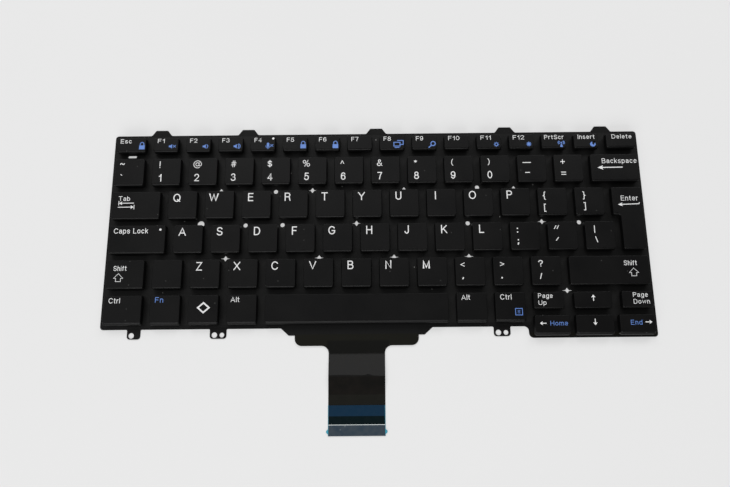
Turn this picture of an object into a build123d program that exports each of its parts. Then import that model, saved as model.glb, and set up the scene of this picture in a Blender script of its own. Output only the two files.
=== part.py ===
from build123d import *
import os
from collections import namedtuple
from math import asin, atan2, degrees, hypot

# A laptop's replacement keyboard, lying flat on its base plate: a stamped plate, a film with a flat
# tail, and 83 flat keycaps, each on a rubber dome and a scissor hinge of two crossed frames.
# X runs to the right along the rows, Y from the space bar to the function keys, and Z up.
# The origin is at the middle of the plate's underside. Lengths are in millimetres.

# Key grid, measured over the flat tops of the caps
key_pitch = 19.05
key_gap = 4.25
key_depth = 14.4
row_gap = 3.65
function_pitch = 17.0
function_gap = 4.2
function_depth = 7.6
function_row_gap = 3.95
full_rows = 5
letters_per_row = 12
inner_function_keys = 14

# Widths of the keys that end a row
esc_width = 15.1
backquote_width = 15.1
backspace_width = 24.45
tab_width = 24.5
caps_lock_width = 28.3
shift_width = 18.7
ctrl_width = 18.7
space_units = 5

# Arrow keys, in two half rows
page_key_width = 15.0
arrow_width = 18.5
side_arrow_width = 17.2
upper_arrow_depth = 8.1
arrow_row_gap = 3.5
lower_arrow_depth = 9.4

# Heights
plate_thickness = 0.5
film_thickness = 0.3
key_travel = 1.6
travel_clearance = 0.2
cap_height = 2.6

# Keycaps: hollow, with drafted walls, chamfered corners and a sloped front on the bottom row
cap_roof = 1.0
cap_wall = 0.7
cap_draft = 0.3
cap_corner = 0.9
bevel_depth = 1.2
bevel_drop = 1.3
homing_length = 5.0
homing_width = 0.6
homing_height = 0.2
homing_inset = 1.3

# Base plate
side_margin = 2.9
rear_margin = 3.15
front_margin = 2.05
arrow_margin = 1.2
plate_corner = 1.6
step_radius = 2.4
rear_tongue_places = (-114.5, -68.1, 0.3, 69.1, 120.3)
rear_tongue_width = 10.7
rear_tongue_slant = 2.25
rear_tongue_length = 3.0
front_tongue_place = -10.7
front_tongue_width = 75.8
front_tongue_slant = 4.0
front_tongue_length = 3.6

# Front screw tabs: a screw hole in each, and a smaller locating hole beside it in the two wide ones
wide_tab_places = (-79.85, 61.75)
wide_tab_width = 7.75
narrow_tab_place = -122.05
narrow_tab_width = 6.2
tab_length = 4.8
tab_corner = 1.1
tab_hole_reach = 2.95
screw_hole = 2.8
locating_hole = 2.4
tab_hole_spacing = 3.74
narrow_tab_hole_offset = -1.2

# Through holes of the plate and the film, in the gaps behind the letter rows. A place is above the middle
# of a key, or above the gap after a key, by the key's number from the left
tab_star_keys = (2, 7, 10)
tab_star_gaps = (4,)
tab_round_keys = (9,)
tab_round_gaps = (3,)
caps_star_gaps = (5, 10)
caps_round_gaps = (2, 3, 8, 11)
shift_star_keys = (5, 7, 9)
shift_star_gaps = (2,)
round_vent = 2.6
star_vent_length = 4.4
star_vent_height = 2.6
round_vent_sides = 6
bar_vent_length = 4.8
bar_vent_height = 1.4
bar_vent_shift = 0.85
wide_vent = 3.6
star_setback = 0.5
round_setback = 1.05
wide_setback = 0.3
vent_spread = 1.007
vent_shift = 0.15

# Film, its front tongue and its tail, which arches a little and comes down flat on the table
film_margin = 0.8
film_tongue_width = 61.7
film_tongue_reach = 5.2
film_tongue_corner = 3.5
tail_fillet = 3.6
tail_stub = 4.0
tail_width = 27.5
tail_length = 43.0
tail_lift = 1.8
tail_top_reach = 14.5
tail_landing = 5.0
tail_bend = 35.0

# Stiffener on the tail's end
stiffener_length = 14.4
stiffener_thickness = 0.2
ear_reach = 0.9
ear_length = 2.4
ear_tip = 0.8
ear_inset = 0.85

# Rubber domes
dome_sides = 5
dome_base = 2.6
dome_top = 1.5
small_dome_base = 1.5
small_dome_top = 1.0

# Scissor hinges: frame length, half width over the outer frame, arm width, thickness, side play
Hinge = namedtuple("Hinge", "length half_width arm thickness play")
standard_hinge = Hinge(length=10.4, half_width=5.1, arm=0.8, thickness=0.7, play=0.3)
small_hinge = Hinge(length=9.4, half_width=2.8, arm=0.5, thickness=0.5, play=0.2)
end_play = 0.05

# Stabiliser bars: square steel wire bent to a wide U
wire_size = 0.8
wire_arm_length = 7.5
wire_play = 0.2

# Levels and extents that follow from the sizes above
film_top = plate_thickness + film_thickness
cap_base = film_top + key_travel + travel_clearance
cap_top = cap_base + cap_height
cap_ceiling = cap_top - cap_roof

block_width = backquote_width + letters_per_row * key_pitch + key_gap + backspace_width
block_left = -block_width / 2
block_right = block_width / 2
row_pitch = key_depth + row_gap
rows_depth = function_depth + function_row_gap + full_rows * row_pitch - row_gap

plate_width = block_width + 2 * side_margin
plate_depth = rear_margin + rows_depth + front_margin
plate_back = plate_depth / 2
plate_front = -plate_depth / 2

function_back = plate_back - rear_margin
number_back = function_back - function_depth - function_row_gap
tab_back = number_back - row_pitch
caps_back = tab_back - row_pitch
shift_back = caps_back - row_pitch
bottom_back = shift_back - row_pitch
lower_arrow_back = bottom_back - upper_arrow_depth - arrow_row_gap
arrow_front = lower_arrow_back - lower_arrow_depth - arrow_margin

tail_root = plate_front - front_tongue_length - film_tongue_reach
tail_end = tail_root - tail_length

Key = namedtuple("Key", "name left right back front sloped small")


def row_spans(first_width, units, pitch=key_pitch, gap=key_gap, to_end=True):
    # Left and right edges of a row's keys; the last key fills the row to the block's right edge
    right = block_left + first_width
    spans = [(block_left, right)]
    for unit in units:
        spans.append((right + gap, right + unit * pitch))
        right += unit * pitch
    if to_end:
        spans.append((right + gap, block_right))
    return spans


function_spans = row_spans(esc_width, [1] * inner_function_keys, function_pitch, function_gap)
number_spans = row_spans(backquote_width, [1] * letters_per_row)
tab_spans = row_spans(tab_width, [1] * letters_per_row)
caps_spans = row_spans(caps_lock_width, [1] * letters_per_row)
shift_spans = row_spans(shift_width, [1] * (letters_per_row - 1))
bottom_spans = row_spans(ctrl_width, [1, 1, 1, space_units, 1, 1], to_end=False)

arrow_left = bottom_spans[-1][1] + key_gap
arrow_middle = (arrow_left + block_right) / 2
middle_arrow_span = (arrow_middle - arrow_width / 2, arrow_middle + arrow_width / 2)

tab_names = "tab q w e r t y u i o p left_bracket right_bracket".split()
caps_names = "caps_lock a s d f g h j k l semicolon apostrophe backslash".split()
shift_names = "left_shift iso z x c v b n m comma period slash right_shift".split()
bottom_names = "left_ctrl fn super left_alt space right_alt right_ctrl".split()


def make_row(names, spans, back, depth, sloped=False, small=False):
    return [
        Key(name, left, right, back, back - depth, sloped, small)
        for name, (left, right) in zip(names, spans)
    ]


def back_row_keys():
    # The function and number rows
    function_names = [f"function_{n}" for n in range(len(function_spans))]
    number_names = [f"number_{n}" for n in range(len(number_spans))]
    keys = make_row(function_names, function_spans, function_back, function_depth, small=True)
    return keys + make_row(number_names, number_spans, number_back, key_depth)


def front_row_keys():
    # The letter rows, the bottom row and the arrow keys, apart from the stepped Enter key
    keys = make_row(tab_names, tab_spans, tab_back, key_depth)
    keys += make_row(caps_names, caps_spans, caps_back, key_depth)
    keys += make_row(shift_names, shift_spans, shift_back, key_depth)
    keys += make_row(bottom_names, bottom_spans, bottom_back, key_depth, sloped=True)
    upper = [
        (arrow_left, arrow_left + page_key_width),
        middle_arrow_span,
        (block_right - page_key_width, block_right),
    ]
    lower = [
        (arrow_left, arrow_left + side_arrow_width),
        middle_arrow_span,
        (block_right - side_arrow_width, block_right),
    ]
    keys += make_row(["page_up", "up", "page_down"], upper, bottom_back, upper_arrow_depth, small=True)
    keys += make_row(
        ["left", "down", "right"], lower, lower_arrow_back, lower_arrow_depth, sloped=True, small=True
    )
    return keys


def outline(corners):
    # A closed face from (x, y, corner radius)
    points = [(x, y) for x, y, _ in corners]
    radii = [radius for _, _, radius in corners]
    return make_face(FilletPolyline(*points, radius=radii, close=True))


def slab(face, bottom, thickness):
    # A flat sheet of the face's outline
    return Pos(0, 0, bottom) * extrude(face, thickness)


def middle_of(left, right, back, front):
    return ((left + right) / 2, (back + front) / 2)


def drafted_block(left, right, back, front):
    # A block with a flat top of these edges, walls that spread to its base, and cut-off corners
    face = Rectangle(right - left + 2 * cap_draft, back - front + 2 * cap_draft)
    face = chamfer(face.vertices(), cap_corner)
    taper = degrees(atan2(cap_draft, cap_height))
    return Pos(*middle_of(left, right, back, front), cap_base) * extrude(face, cap_height, taper=taper)


def hollow_block(left, right, back, front):
    # The space inside a cap, open below
    face = Rectangle(right - left - 2 * cap_wall, back - front - 2 * cap_wall)
    return Pos(*middle_of(left, right, back, front), cap_base) * extrude(face, cap_ceiling - cap_base)


def hollow_cap(*edges):
    # A cap of one or two blocks, each given by its left, right, back and front edges
    blocks = [drafted_block(*edge) for edge in edges]
    hollows = [hollow_block(*edge) for edge in edges]
    return Part() + blocks - hollows


def enter_key():
    # The stepped Enter key fills the ends of two rows, and is wider in the upper one
    upper = (tab_spans[-1][0], block_right, tab_back, tab_back - key_depth)
    return hollow_cap(upper, (enter_lower_left, block_right, tab_back, enter_front))


def sloped_front(cap, key):
    # Cut the cap's front top edge off along a sloping plane
    slope = Plane(
        origin=(0, key.front + bevel_depth, cap_top),
        x_dir=(1, 0, 0),
        z_dir=(0, -bevel_drop, bevel_depth),
    )
    return split(cap, slope, keep=Keep.BOTTOM)


def homing_bar(key):
    # The raised bar that a finger finds on the F and J keys
    middle = (key.left + key.right) / 2
    place = Pos(middle, key.front + homing_inset, cap_top + homing_height / 2)
    return place * Box(homing_length, homing_width, homing_height)


def keycap(key):
    cap = hollow_cap((key.left, key.right, key.back, key.front))
    if key.sloped:
        cap = sloped_front(cap, key)
    if key.name in ("f", "j"):
        cap = cap + homing_bar(key)
    return cap


def dome(middle, small):
    # A rubber dome from the film to the underside of the cap
    base, top = (small_dome_base, small_dome_top) if small else (dome_base, dome_top)
    height = cap_ceiling - film_top
    taper = degrees(atan2(base - top, height))
    foot = RegularPolygon(base, dome_sides, major_radius=False)
    return Pos(middle[0], middle[1], film_top) * extrude(foot, height, taper=taper)


def parallel_arms(length, half_width, arm):
    # A flat U with its crossbar at the front
    return [
        (-half_width, -length / 2),
        (half_width, -length / 2),
        (half_width, length / 2),
        (half_width - arm, length / 2),
        (half_width - arm, arm - length / 2),
        (arm - half_width, arm - length / 2),
        (arm - half_width, length / 2),
        (-half_width, length / 2),
    ]


def tapered_arms(length, half_width, arm):
    # A flat U whose arms narrow to their tips
    return [
        (-half_width, -length / 2),
        (half_width, -length / 2),
        (half_width, length / 2),
        (half_width - arm, arm - length / 2),
        (arm - half_width, arm - length / 2),
        (-half_width, length / 2),
    ]


def tilted_frame(points, length, thickness, raised=False):
    # A flat frame, tilted about X to span the space between the film and the cap's roof.
    # Its crossbar is at the low end or, if raised, at the high end
    space = cap_ceiling - film_top - 2 * end_play
    tilt = degrees(asin(space / hypot(length, thickness)) - atan2(thickness, length))
    flat = slab(make_face(Polyline(*points, close=True)), -thickness / 2, thickness)
    return Pos(0, 0, (cap_ceiling + film_top) / 2) * Rot(-tilt if raised else tilt, 0, 0) * flat


def scissor_hinge(middle, hinge, turn):
    # Two crossed frames: the inner one turned end for end inside the outer one
    inner_half_width = hinge.half_width - hinge.arm - hinge.play
    outer_points = parallel_arms(hinge.length, hinge.half_width, hinge.arm)
    inner_points = tapered_arms(hinge.length, inner_half_width, hinge.arm)
    outer = tilted_frame(outer_points, hinge.length, hinge.thickness)
    inner = tilted_frame(inner_points, hinge.length, hinge.thickness)
    place = Pos(*middle, 0) * Rot(0, 0, turn)
    return [place * outer, place * Rot(0, 0, 180) * inner]


def stabiliser_bar(middle, run, wall_distance, turn=0):
    # A wire U under a wide cap: its long run lies along one wall, and its arms reach down from there
    half_width = run / 2 - cap_wall - wire_play
    points = parallel_arms(wire_arm_length, half_width, wire_size)
    bar = tilted_frame(points, wire_arm_length, wire_size, raised=True)
    reach = wall_distance - cap_wall - wire_play - bar.bounding_box().size.Y / 2
    return Pos(*middle, 0) * Rot(0, 0, turn) * Pos(0, -reach, 0) * bar


def vent_places(spans, y, keys=(), gaps=()):
    # Places above the middles of keys, and above the gaps after keys
    above_keys = [((spans[key][0] + spans[key][1]) / 2, y) for key in keys]
    above_gaps = [((spans[key][1] + spans[key + 1][0]) / 2, y) for key in gaps]
    return above_keys + above_gaps


def vent_faces():
    # The through holes: four-pointed stars, round holes and one bar beside the function keys
    tab_y, caps_y, shift_y, arrow_y = (
        back + row_gap / 2 for back in (tab_back, caps_back, shift_back, bottom_back)
    )
    stars = vent_places(tab_spans, tab_y - star_setback, tab_star_keys, tab_star_gaps)
    stars += vent_places(caps_spans, caps_y - star_setback, gaps=caps_star_gaps)
    stars += vent_places(shift_spans, shift_y - star_setback, shift_star_keys, shift_star_gaps)
    stars += [((arrow_left + page_key_width + middle_arrow_span[0]) / 2, arrow_y - star_setback)]
    rounds = vent_places(tab_spans, tab_y + wide_setback, keys=tab_round_keys)
    rounds += vent_places(tab_spans, tab_y - round_setback, gaps=tab_round_gaps)
    rounds += vent_places(caps_spans, caps_y - round_setback, gaps=caps_round_gaps)
    wides = [(caps_spans[1][1] - wide_vent / 2, caps_y - wide_setback)]
    bars = vent_places(number_spans, number_back + function_row_gap / 2 + bar_vent_shift, keys=(0,))
    half_length, half_height = star_vent_length / 2, star_vent_height / 2
    star = make_face(
        Polyline((-half_length, 0), (0, -half_height), (half_length, 0), (0, half_height), close=True)
    )
    round_hole = RegularPolygon(round_vent / 2, round_vent_sides)
    wide_hole = RegularPolygon(wide_vent / 2, round_vent_sides)
    bar = Rectangle(bar_vent_length, bar_vent_height)
    shapes = [(star, stars), (round_hole, rounds), (wide_hole, wides), (bar, bars)]
    return [Pos(x * vent_spread + vent_shift, y) * shape for shape, places in shapes for x, y in places]


def vent_cutters():
    return [slab(face, 0, film_top) for face in vent_faces()]


def plate_corners():
    # Corners of the plate, counter-clockwise from the front left: (x, y, radius)
    half_width = plate_width / 2
    tabs = [(place, wide_tab_width) for place in wide_tab_places] + [(narrow_tab_place, narrow_tab_width)]
    front_pieces = []
    for place, width in tabs:
        tip = plate_front - tab_length
        left, right = place - width / 2, place + width / 2
        tab = [(left, plate_front, 0), (left, tip + tab_corner, 0), (left + tab_corner, tip, 0)]
        tab += [(right - tab_corner, tip, 0), (right, tip + tab_corner, 0), (right, plate_front, 0)]
        front_pieces.append(tab)
    left = front_tongue_place - front_tongue_width / 2
    right = front_tongue_place + front_tongue_width / 2
    tip = plate_front - front_tongue_length
    tongue = [(left, plate_front, 0), (left + front_tongue_slant, tip, 0)]
    front_pieces.append(tongue + [(right - front_tongue_slant, tip, 0), (right, plate_front, 0)])

    corners = [(-half_width, plate_front, plate_corner)]
    for piece in sorted(front_pieces):
        corners += piece
    step = arrow_left - key_gap / 2
    corners += [(step, plate_front, step_radius), (step, arrow_front, step_radius)]
    corners += [(half_width, arrow_front, plate_corner), (half_width, plate_back, plate_corner)]
    for place in sorted(rear_tongue_places, reverse=True):
        left, right = place - rear_tongue_width / 2, place + rear_tongue_width / 2
        tip = plate_back + rear_tongue_length
        corners += [(right, plate_back, 0), (right - rear_tongue_slant, tip, 0)]
        corners += [(left + rear_tongue_slant, tip, 0), (left, plate_back, 0)]
    return corners + [(-half_width, plate_back, plate_corner)]


def tab_holes():
    # Screw and locating holes of the front tabs: (x, diameter)
    holes = [(narrow_tab_place + narrow_tab_hole_offset, screw_hole)]
    for place in wide_tab_places:
        holes += [(place - tab_hole_spacing / 2, screw_hole), (place + tab_hole_spacing / 2, locating_hole)]
    return holes


def base_plate():
    plate = slab(outline(plate_corners()), 0, plate_thickness)
    hole_y = plate_front - tab_hole_reach
    cutters = [
        Pos(x, hole_y, plate_thickness / 2) * Cylinder(diameter / 2, 2 * plate_thickness)
        for x, diameter in tab_holes()
    ]
    return plate - cutters - vent_cutters()


def film_tail():
    # The tail's side view, bent up from the tongue and down to the table, drawn out to its width
    drop = plate_thickness
    lower = FilletPolyline(
        (tail_root + film_tongue_corner, drop),
        (tail_root - tail_stub, drop),
        (tail_root - tail_top_reach, tail_lift),
        (tail_end + stiffener_length + tail_landing, 0),
        (tail_end, 0),
        radius=tail_bend,
    )
    upper = Pos(0, film_thickness) * lower
    ends = [Line(lower @ 0, upper @ 0), Line(lower @ 1, upper @ 1)]
    side = make_face(lower.edges() + upper.edges() + ends)
    left = front_tongue_place - tail_width / 2
    return Pos(left, 0, 0) * extrude(Plane.YZ * side, tail_width, dir=(1, 0, 0))


def membrane_sheet():
    # The film over the plate, with its tongue and tail
    half_width = plate_width / 2 - film_margin
    front, back = plate_front + film_margin, plate_back - film_margin
    step = arrow_left - key_gap / 2 + film_margin
    half_tongue, half_tail = film_tongue_width / 2, tail_width / 2
    corner = film_tongue_corner
    middle = front_tongue_place
    sheet = outline(
        [
            (-half_width, front, 0),
            (middle - half_tongue, front, 0),
            (middle - half_tongue, tail_root, corner),
            (middle - half_tail, tail_root, tail_fillet),
            (middle - half_tail, tail_root - tail_stub, 0),
            (middle + half_tail, tail_root - tail_stub, 0),
            (middle + half_tail, tail_root, tail_fillet),
            (middle + half_tongue, tail_root, corner),
            (middle + half_tongue, front, 0),
            (step, front, 0),
            (step, arrow_front + film_margin, 0),
            (half_width, arrow_front + film_margin, 0),
            (half_width, back, 0),
            (-half_width, back, 0),
        ]
    )
    return slab(sheet, plate_thickness, film_thickness) + film_tail() - vent_cutters()


def tail_stiffener():
    # A stiff tab on the tail's flat end, with a small ear on each side
    half_width = tail_width / 2
    ear_front = tail_end + ear_inset
    ear_back = ear_front + ear_length
    ear_side = (ear_length - ear_tip) / 2
    side = [(half_width, ear_front), (half_width + ear_reach, ear_front + ear_side)]
    side += [(half_width + ear_reach, ear_back - ear_side), (half_width, ear_back)]
    side += [(half_width, tail_end + stiffener_length)]
    right = [(half_width, tail_end)] + side
    left = [(-x, y) for x, y in reversed(right)]
    face = make_face(Polyline(*right, *left, close=True))
    return Pos(front_tongue_place, 0, 0) * slab(face, film_thickness, stiffener_thickness)


def write_part(name, solids):
    # One file for each named piece or group of like pieces
    shape = solids[0] if len(solids) == 1 else Compound(children=solids)
    shape.label = name
    export_step(shape, f"parts/{name}.step")


back_keys = back_row_keys()
front_keys = front_row_keys()
enter_lower_left = caps_spans[-1][0]
enter_front = caps_back - key_depth
enter_middle = middle_of(enter_lower_left, block_right, tab_back, enter_front)

domes = [dome(enter_middle, small=True)]
hinge_frames = scissor_hinge(enter_middle, small_hinge, 0)
for key in back_keys + front_keys:
    middle = middle_of(key.left, key.right, key.back, key.front)
    domes.append(dome(middle, key.small))
    if key.small:
        hinge_frames += scissor_hinge(middle, small_hinge, 90)
    else:
        hinge_frames += scissor_hinge(middle, standard_hinge, 0)

bars = [stabiliser_bar(enter_middle, tab_back - enter_front, (block_right - enter_lower_left) / 2, 90)]
for key in back_keys + front_keys:
    if key.right - key.left >= tab_width - key_gap:
        middle = middle_of(key.left, key.right, key.back, key.front)
        bars.append(stabiliser_bar(middle, key.right - key.left, (key.back - key.front) / 2))

os.makedirs("parts", exist_ok=True)
write_part("base_plate", [base_plate()])
write_part("membrane_sheet", [membrane_sheet()])
write_part("tail_stiffener", [tail_stiffener()])
write_part("rubber_domes", domes)
write_part("scissor_hinges", hinge_frames)
write_part("stabiliser_bars", bars)
write_part("back_row_keys", [keycap(key) for key in back_keys])
write_part("key_enter", [enter_key()])
for key in front_keys:
    write_part(f"key_{key.name}", [keycap(key)])
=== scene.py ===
import math
import bpy
import bmesh
import numpy as np
from mathutils import Matrix, Vector


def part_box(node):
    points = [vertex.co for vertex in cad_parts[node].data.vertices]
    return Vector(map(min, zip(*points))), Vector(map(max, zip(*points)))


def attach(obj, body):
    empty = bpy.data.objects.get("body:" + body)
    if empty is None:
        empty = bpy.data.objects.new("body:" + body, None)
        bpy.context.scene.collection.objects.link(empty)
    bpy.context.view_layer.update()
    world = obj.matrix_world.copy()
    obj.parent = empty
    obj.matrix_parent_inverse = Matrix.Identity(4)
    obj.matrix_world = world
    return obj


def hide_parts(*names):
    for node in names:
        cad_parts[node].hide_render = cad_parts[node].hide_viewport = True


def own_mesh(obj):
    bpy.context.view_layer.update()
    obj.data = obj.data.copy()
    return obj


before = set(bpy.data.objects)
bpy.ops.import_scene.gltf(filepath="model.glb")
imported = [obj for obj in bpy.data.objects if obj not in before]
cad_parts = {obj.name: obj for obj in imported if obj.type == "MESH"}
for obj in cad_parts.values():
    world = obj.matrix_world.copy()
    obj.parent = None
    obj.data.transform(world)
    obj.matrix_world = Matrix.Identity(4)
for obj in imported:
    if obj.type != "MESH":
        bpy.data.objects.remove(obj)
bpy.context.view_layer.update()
mm = 0.001
print("frame loaded:", len(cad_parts), "nodes")


# Surfaces as arrays

def unit(vectors):
    # Each vector over its length
    return vectors / np.linalg.norm(vectors, axis=-1, keepdims=True)


def ringStack(rings, closedPath=False):
    # A surface through closed rings: point j of ring i joins point j + 1 and ring i + 1.
    # Flat faces close the first and the last ring, unless the path itself is closed
    rings = np.asarray(rings, float)
    count, size = rings.shape[:2]
    here = np.arange(count * size).reshape(count, size)
    below = here if closedPath else here[:-1]
    above = np.roll(here, -1, 0) if closedPath else here[1:]
    quads = np.stack([below, np.roll(below, -1, 1), np.roll(above, -1, 1), above], -1)
    faces = quads.reshape(-1, 4).tolist()
    if not closedPath:
        faces += [here[0][::-1].tolist(), here[-1].tolist()]
    return rings.reshape(-1, 3), faces


def prism(outline, low, high):
    # A flat outline, turned counter-clockwise, carried from the low to the high level
    outline = np.asarray(outline, float)
    x, y = outline.T
    if np.sum(x * np.roll(y, -1) - y * np.roll(x, -1)) < 0:
        outline = outline[::-1]
    levels = np.array([low, high])[:, None, None]
    flat = np.broadcast_to(outline, (2, *outline.shape))
    return ringStack(np.concatenate([flat, np.broadcast_to(levels, (2, len(outline), 1))], -1))


def tube(path, radius, sides=8):
    # A circle carried along a path, standing across the mean direction of the two runs at each point
    path = np.asarray(path, float)
    tangent = unit(np.gradient(path, axis=0))
    notAlong = (0.13, 0.21, 1.0)   # a direction that no run of any path has
    across = unit(np.cross(tangent, notAlong))
    upward = np.cross(across, tangent)
    angle = np.linspace(0, 2 * np.pi, sides, endpoint=False)[None, :, None]
    circle = across[:, None] * np.cos(angle) - upward[:, None] * np.sin(angle)
    return ringStack(path[:, None] + radius * circle)


def revolved(profile, sides):
    # A line of (radius, height) points turned about Z, from its foot to its top
    radius, height = np.asarray(profile, float).T
    angle = np.linspace(0, 2 * np.pi, sides, endpoint=False)
    x = radius[:, None] * np.cos(angle)
    y = radius[:, None] * np.sin(angle)
    return ringStack(np.stack([x, y, np.broadcast_to(height[:, None], x.shape)], -1))


def filletOutline(corners, steps=6):
    # A closed outline from (x, y, radius): a corner with a radius becomes an arc that touches both its sides
    points = np.array([corner[:2] for corner in corners], float)
    radii = np.array([corner[2] for corner in corners], float)
    toPrevious = unit(np.roll(points, 1, 0) - points)
    toNext = unit(np.roll(points, -1, 0) - points)
    half = np.arccos(np.clip(np.sum(toPrevious * toNext, -1), -1, 1)) / 2
    pieces = []
    for point, radius, back, ahead, angle in zip(points, radii, toPrevious, toNext, half):
        if radius == 0:
            pieces.append(point[None])
            continue
        centre = point + unit(back + ahead) * radius / math.sin(angle)
        start = point + back * radius / math.tan(angle) - centre
        end = point + ahead * radius / math.tan(angle) - centre
        turn = math.pi - 2 * angle
        share = np.linspace(0, 1, steps + 1)[:, None]
        arc = (np.sin((1 - share) * turn) * start + np.sin(share * turn) * end) / math.sin(turn)
        pieces.append(centre + arc)
    return np.concatenate(pieces)


def placed(solid, place=(0, 0, 0), turn=0, tilt=0):
    # A solid tilted about X, turned about Z and moved; angles in radians
    points, faces = solid
    matrix = np.array(Matrix.Rotation(turn, 3, "Z") @ Matrix.Rotation(tilt, 3, "X"))
    return points @ matrix.T + np.asarray(place, float), faces


def makePiece(name, solids, materials, smoothAngle=40):
    # One object from solids in millimetres, each with the number of its material
    starts = np.cumsum([0] + [len(points) for points, _, _ in solids])
    vertices = np.concatenate([points for points, _, _ in solids]) * mm
    faces = []
    slots = []
    for start, (_, solidFaces, slot) in zip(starts, solids):
        faces += [[int(start) + corner for corner in face] for face in solidFaces]
        slots += [slot] * len(solidFaces)
    mesh = bpy.data.meshes.new(name)
    mesh.from_pydata(vertices.tolist(), [], faces)
    for material in materials:
        mesh.materials.append(material)
    mesh.polygons.foreach_set("material_index", slots)
    mesh.validate()
    piece = bpy.data.objects.new(name, mesh)
    bpy.context.scene.collection.objects.link(piece)
    mesh.shade_smooth()
    mesh.set_sharp_from_angle(angle=math.radians(smoothAngle))
    return piece


def flatSheet(outlines, low, high, edge):
    # A filled curve with holes, given a thickness and small rounded edges, as points and faces
    curve = bpy.data.curves.new("sheet", "CURVE")
    curve.dimensions = "2D"
    curve.fill_mode = "BOTH"
    curve.extrude = (high - low) / 2 - edge
    curve.bevel_depth = edge
    curve.bevel_resolution = 1
    curve.offset = -edge
    for outline in outlines:
        spline = curve.splines.new("POLY")
        spline.points.add(len(outline) - 1)
        padding = np.broadcast_to((0.0, 1.0), (len(outline), 2))
        spline.points.foreach_set("co", np.concatenate([outline, padding], -1).ravel())
        spline.use_cyclic_u = True
    holder = bpy.data.objects.new("sheet", curve)
    bpy.context.scene.collection.objects.link(holder)
    bpy.context.view_layer.update()
    mesh = bpy.data.meshes.new_from_object(holder)
    shell = bmesh.new()
    shell.from_mesh(mesh)
    weld = edge * 0.1
    bmesh.ops.remove_doubles(shell, verts=shell.verts, dist=weld)
    bmesh.ops.recalc_face_normals(shell, faces=shell.faces)
    points = np.array([vertex.co[:] for vertex in shell.verts]) + (0, 0, (low + high) / 2)
    faces = [[vertex.index for vertex in face.verts] for face in shell.faces]
    shell.free()
    bpy.data.objects.remove(holder)
    bpy.data.meshes.remove(mesh)
    bpy.data.curves.remove(curve)
    return points, faces


# Shared effects

grainShape = {"detail": {"Grain": 3.0, "Cloud": 4.0}, "cloudLow": 0.3, "cloudHigh": 0.7}


def feed(tree, socket, value):
    # A socket takes a link from another socket, or else a fixed value
    if isinstance(value, bpy.types.NodeSocket):
        tree.links.new(value, socket)
    else:
        socket.default_value = value


def addNode(tree, kind, values, **settings):
    # A node with its settings, and values for its sockets by name or number
    node = tree.nodes.new("ShaderNode" + kind)
    for name, value in settings.items():
        setattr(node, name, value)
    for socket, value in values.items():
        feed(tree, node.inputs[socket], value)
    return node


def mathNode(tree, operation, first, second=0.0, clamp=False):
    # One step of arithmetic on sockets or numbers
    node = addNode(tree, "Math", {0: first, 1: second}, operation=operation, use_clamp=clamp)
    return node.outputs["Value"]


def colourMix(tree, factor, first, second):
    # The first colour where the factor is 0, the second where it is 1
    node = addNode(tree, "Mix", {"Factor": factor, "A": first, "B": second}, data_type="RGBA")
    return node.outputs["Result"]


def objectPlace(tree):
    # Object coordinates, which stay with a piece when it moves
    return tree.nodes.new("ShaderNodeTexCoord").outputs["Object"]


def newGroup(name, inputs, outputs):
    # An empty group with number sockets, and its two end nodes
    group = bpy.data.node_groups.new(name, "ShaderNodeTree")
    for socket, value in inputs.items():
        made = group.interface.new_socket(socket, in_out="INPUT", socket_type="NodeSocketFloat")
        made.default_value = value
    for socket in outputs:
        group.interface.new_socket(socket, in_out="OUTPUT", socket_type="NodeSocketFloat")
    return group, group.nodes.new("NodeGroupInput"), group.nodes.new("NodeGroupOutput")


def mouldGrain():
    # Fine spark-eroded grain as a height, and slow cloudy change of tone, both from Object coordinates
    group, given, result = newGroup("mouldGrain", {"Grain": 5000.0, "Cloud": 60.0}, ["Height", "Tone"])
    place = objectPlace(group)
    noise = {}
    for socket, detail in grainShape["detail"].items():
        values = {"Vector": place, "Scale": given.outputs[socket], "Detail": detail}
        noise[socket] = addNode(group, "TexNoise", values).outputs["Fac"]
    ends = {"From Min": grainShape["cloudLow"], "From Max": grainShape["cloudHigh"]}
    spread = addNode(group, "MapRange", {"Value": noise["Cloud"], **ends})
    feed(group, result.inputs["Height"], noise["Grain"])
    feed(group, result.inputs["Tone"], spread.outputs["Result"])
    return group


def dustSpecks():
    # A few small specks: a cell of a Voronoi pattern is chosen by its random colour, and shows near its point
    group, given, result = newGroup("dustSpecks", {"Scale": 200.0, "Share": 0.05, "Size": 0.12}, ["Mask"])
    values = {"Vector": objectPlace(group), "Scale": given.outputs["Scale"]}
    cells = addNode(group, "TexVoronoi", values, voronoi_dimensions="2D")
    split = addNode(group, "SeparateColor", {"Color": cells.outputs["Color"]})
    chosen = mathNode(group, "LESS_THAN", split.outputs["Red"], given.outputs["Share"])
    near = mathNode(group, "LESS_THAN", cells.outputs["Distance"], given.outputs["Size"])
    feed(group, result.inputs["Mask"], mathNode(group, "MULTIPLY", chosen, near))
    return group


def patchMask():
    # A soft-edged rectangle: 1 where both |x - centre| and |y - centre| are under their halves
    sizes = {"Centre X": 0.0, "Half X": 0.1, "Centre Y": 0.0, "Half Y": 0.1, "Soft": 0.001}
    group, given, result = newGroup("patchMask", sizes, ["Mask"])
    split = addNode(group, "SeparateXYZ", {"Vector": objectPlace(group)})
    shares = []
    for axis in "XY":
        apart = mathNode(group, "SUBTRACT", split.outputs[axis], given.outputs["Centre " + axis])
        far = mathNode(group, "ABSOLUTE", apart)
        inside = mathNode(group, "SUBTRACT", given.outputs["Half " + axis], far)
        shares.append(mathNode(group, "DIVIDE", inside, given.outputs["Soft"], clamp=True))
    feed(group, result.inputs["Mask"], mathNode(group, "MULTIPLY", *shares))
    return group


grainGroup = mouldGrain()
dustGroup = dustSpecks()
patchGroup = patchMask()


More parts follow.
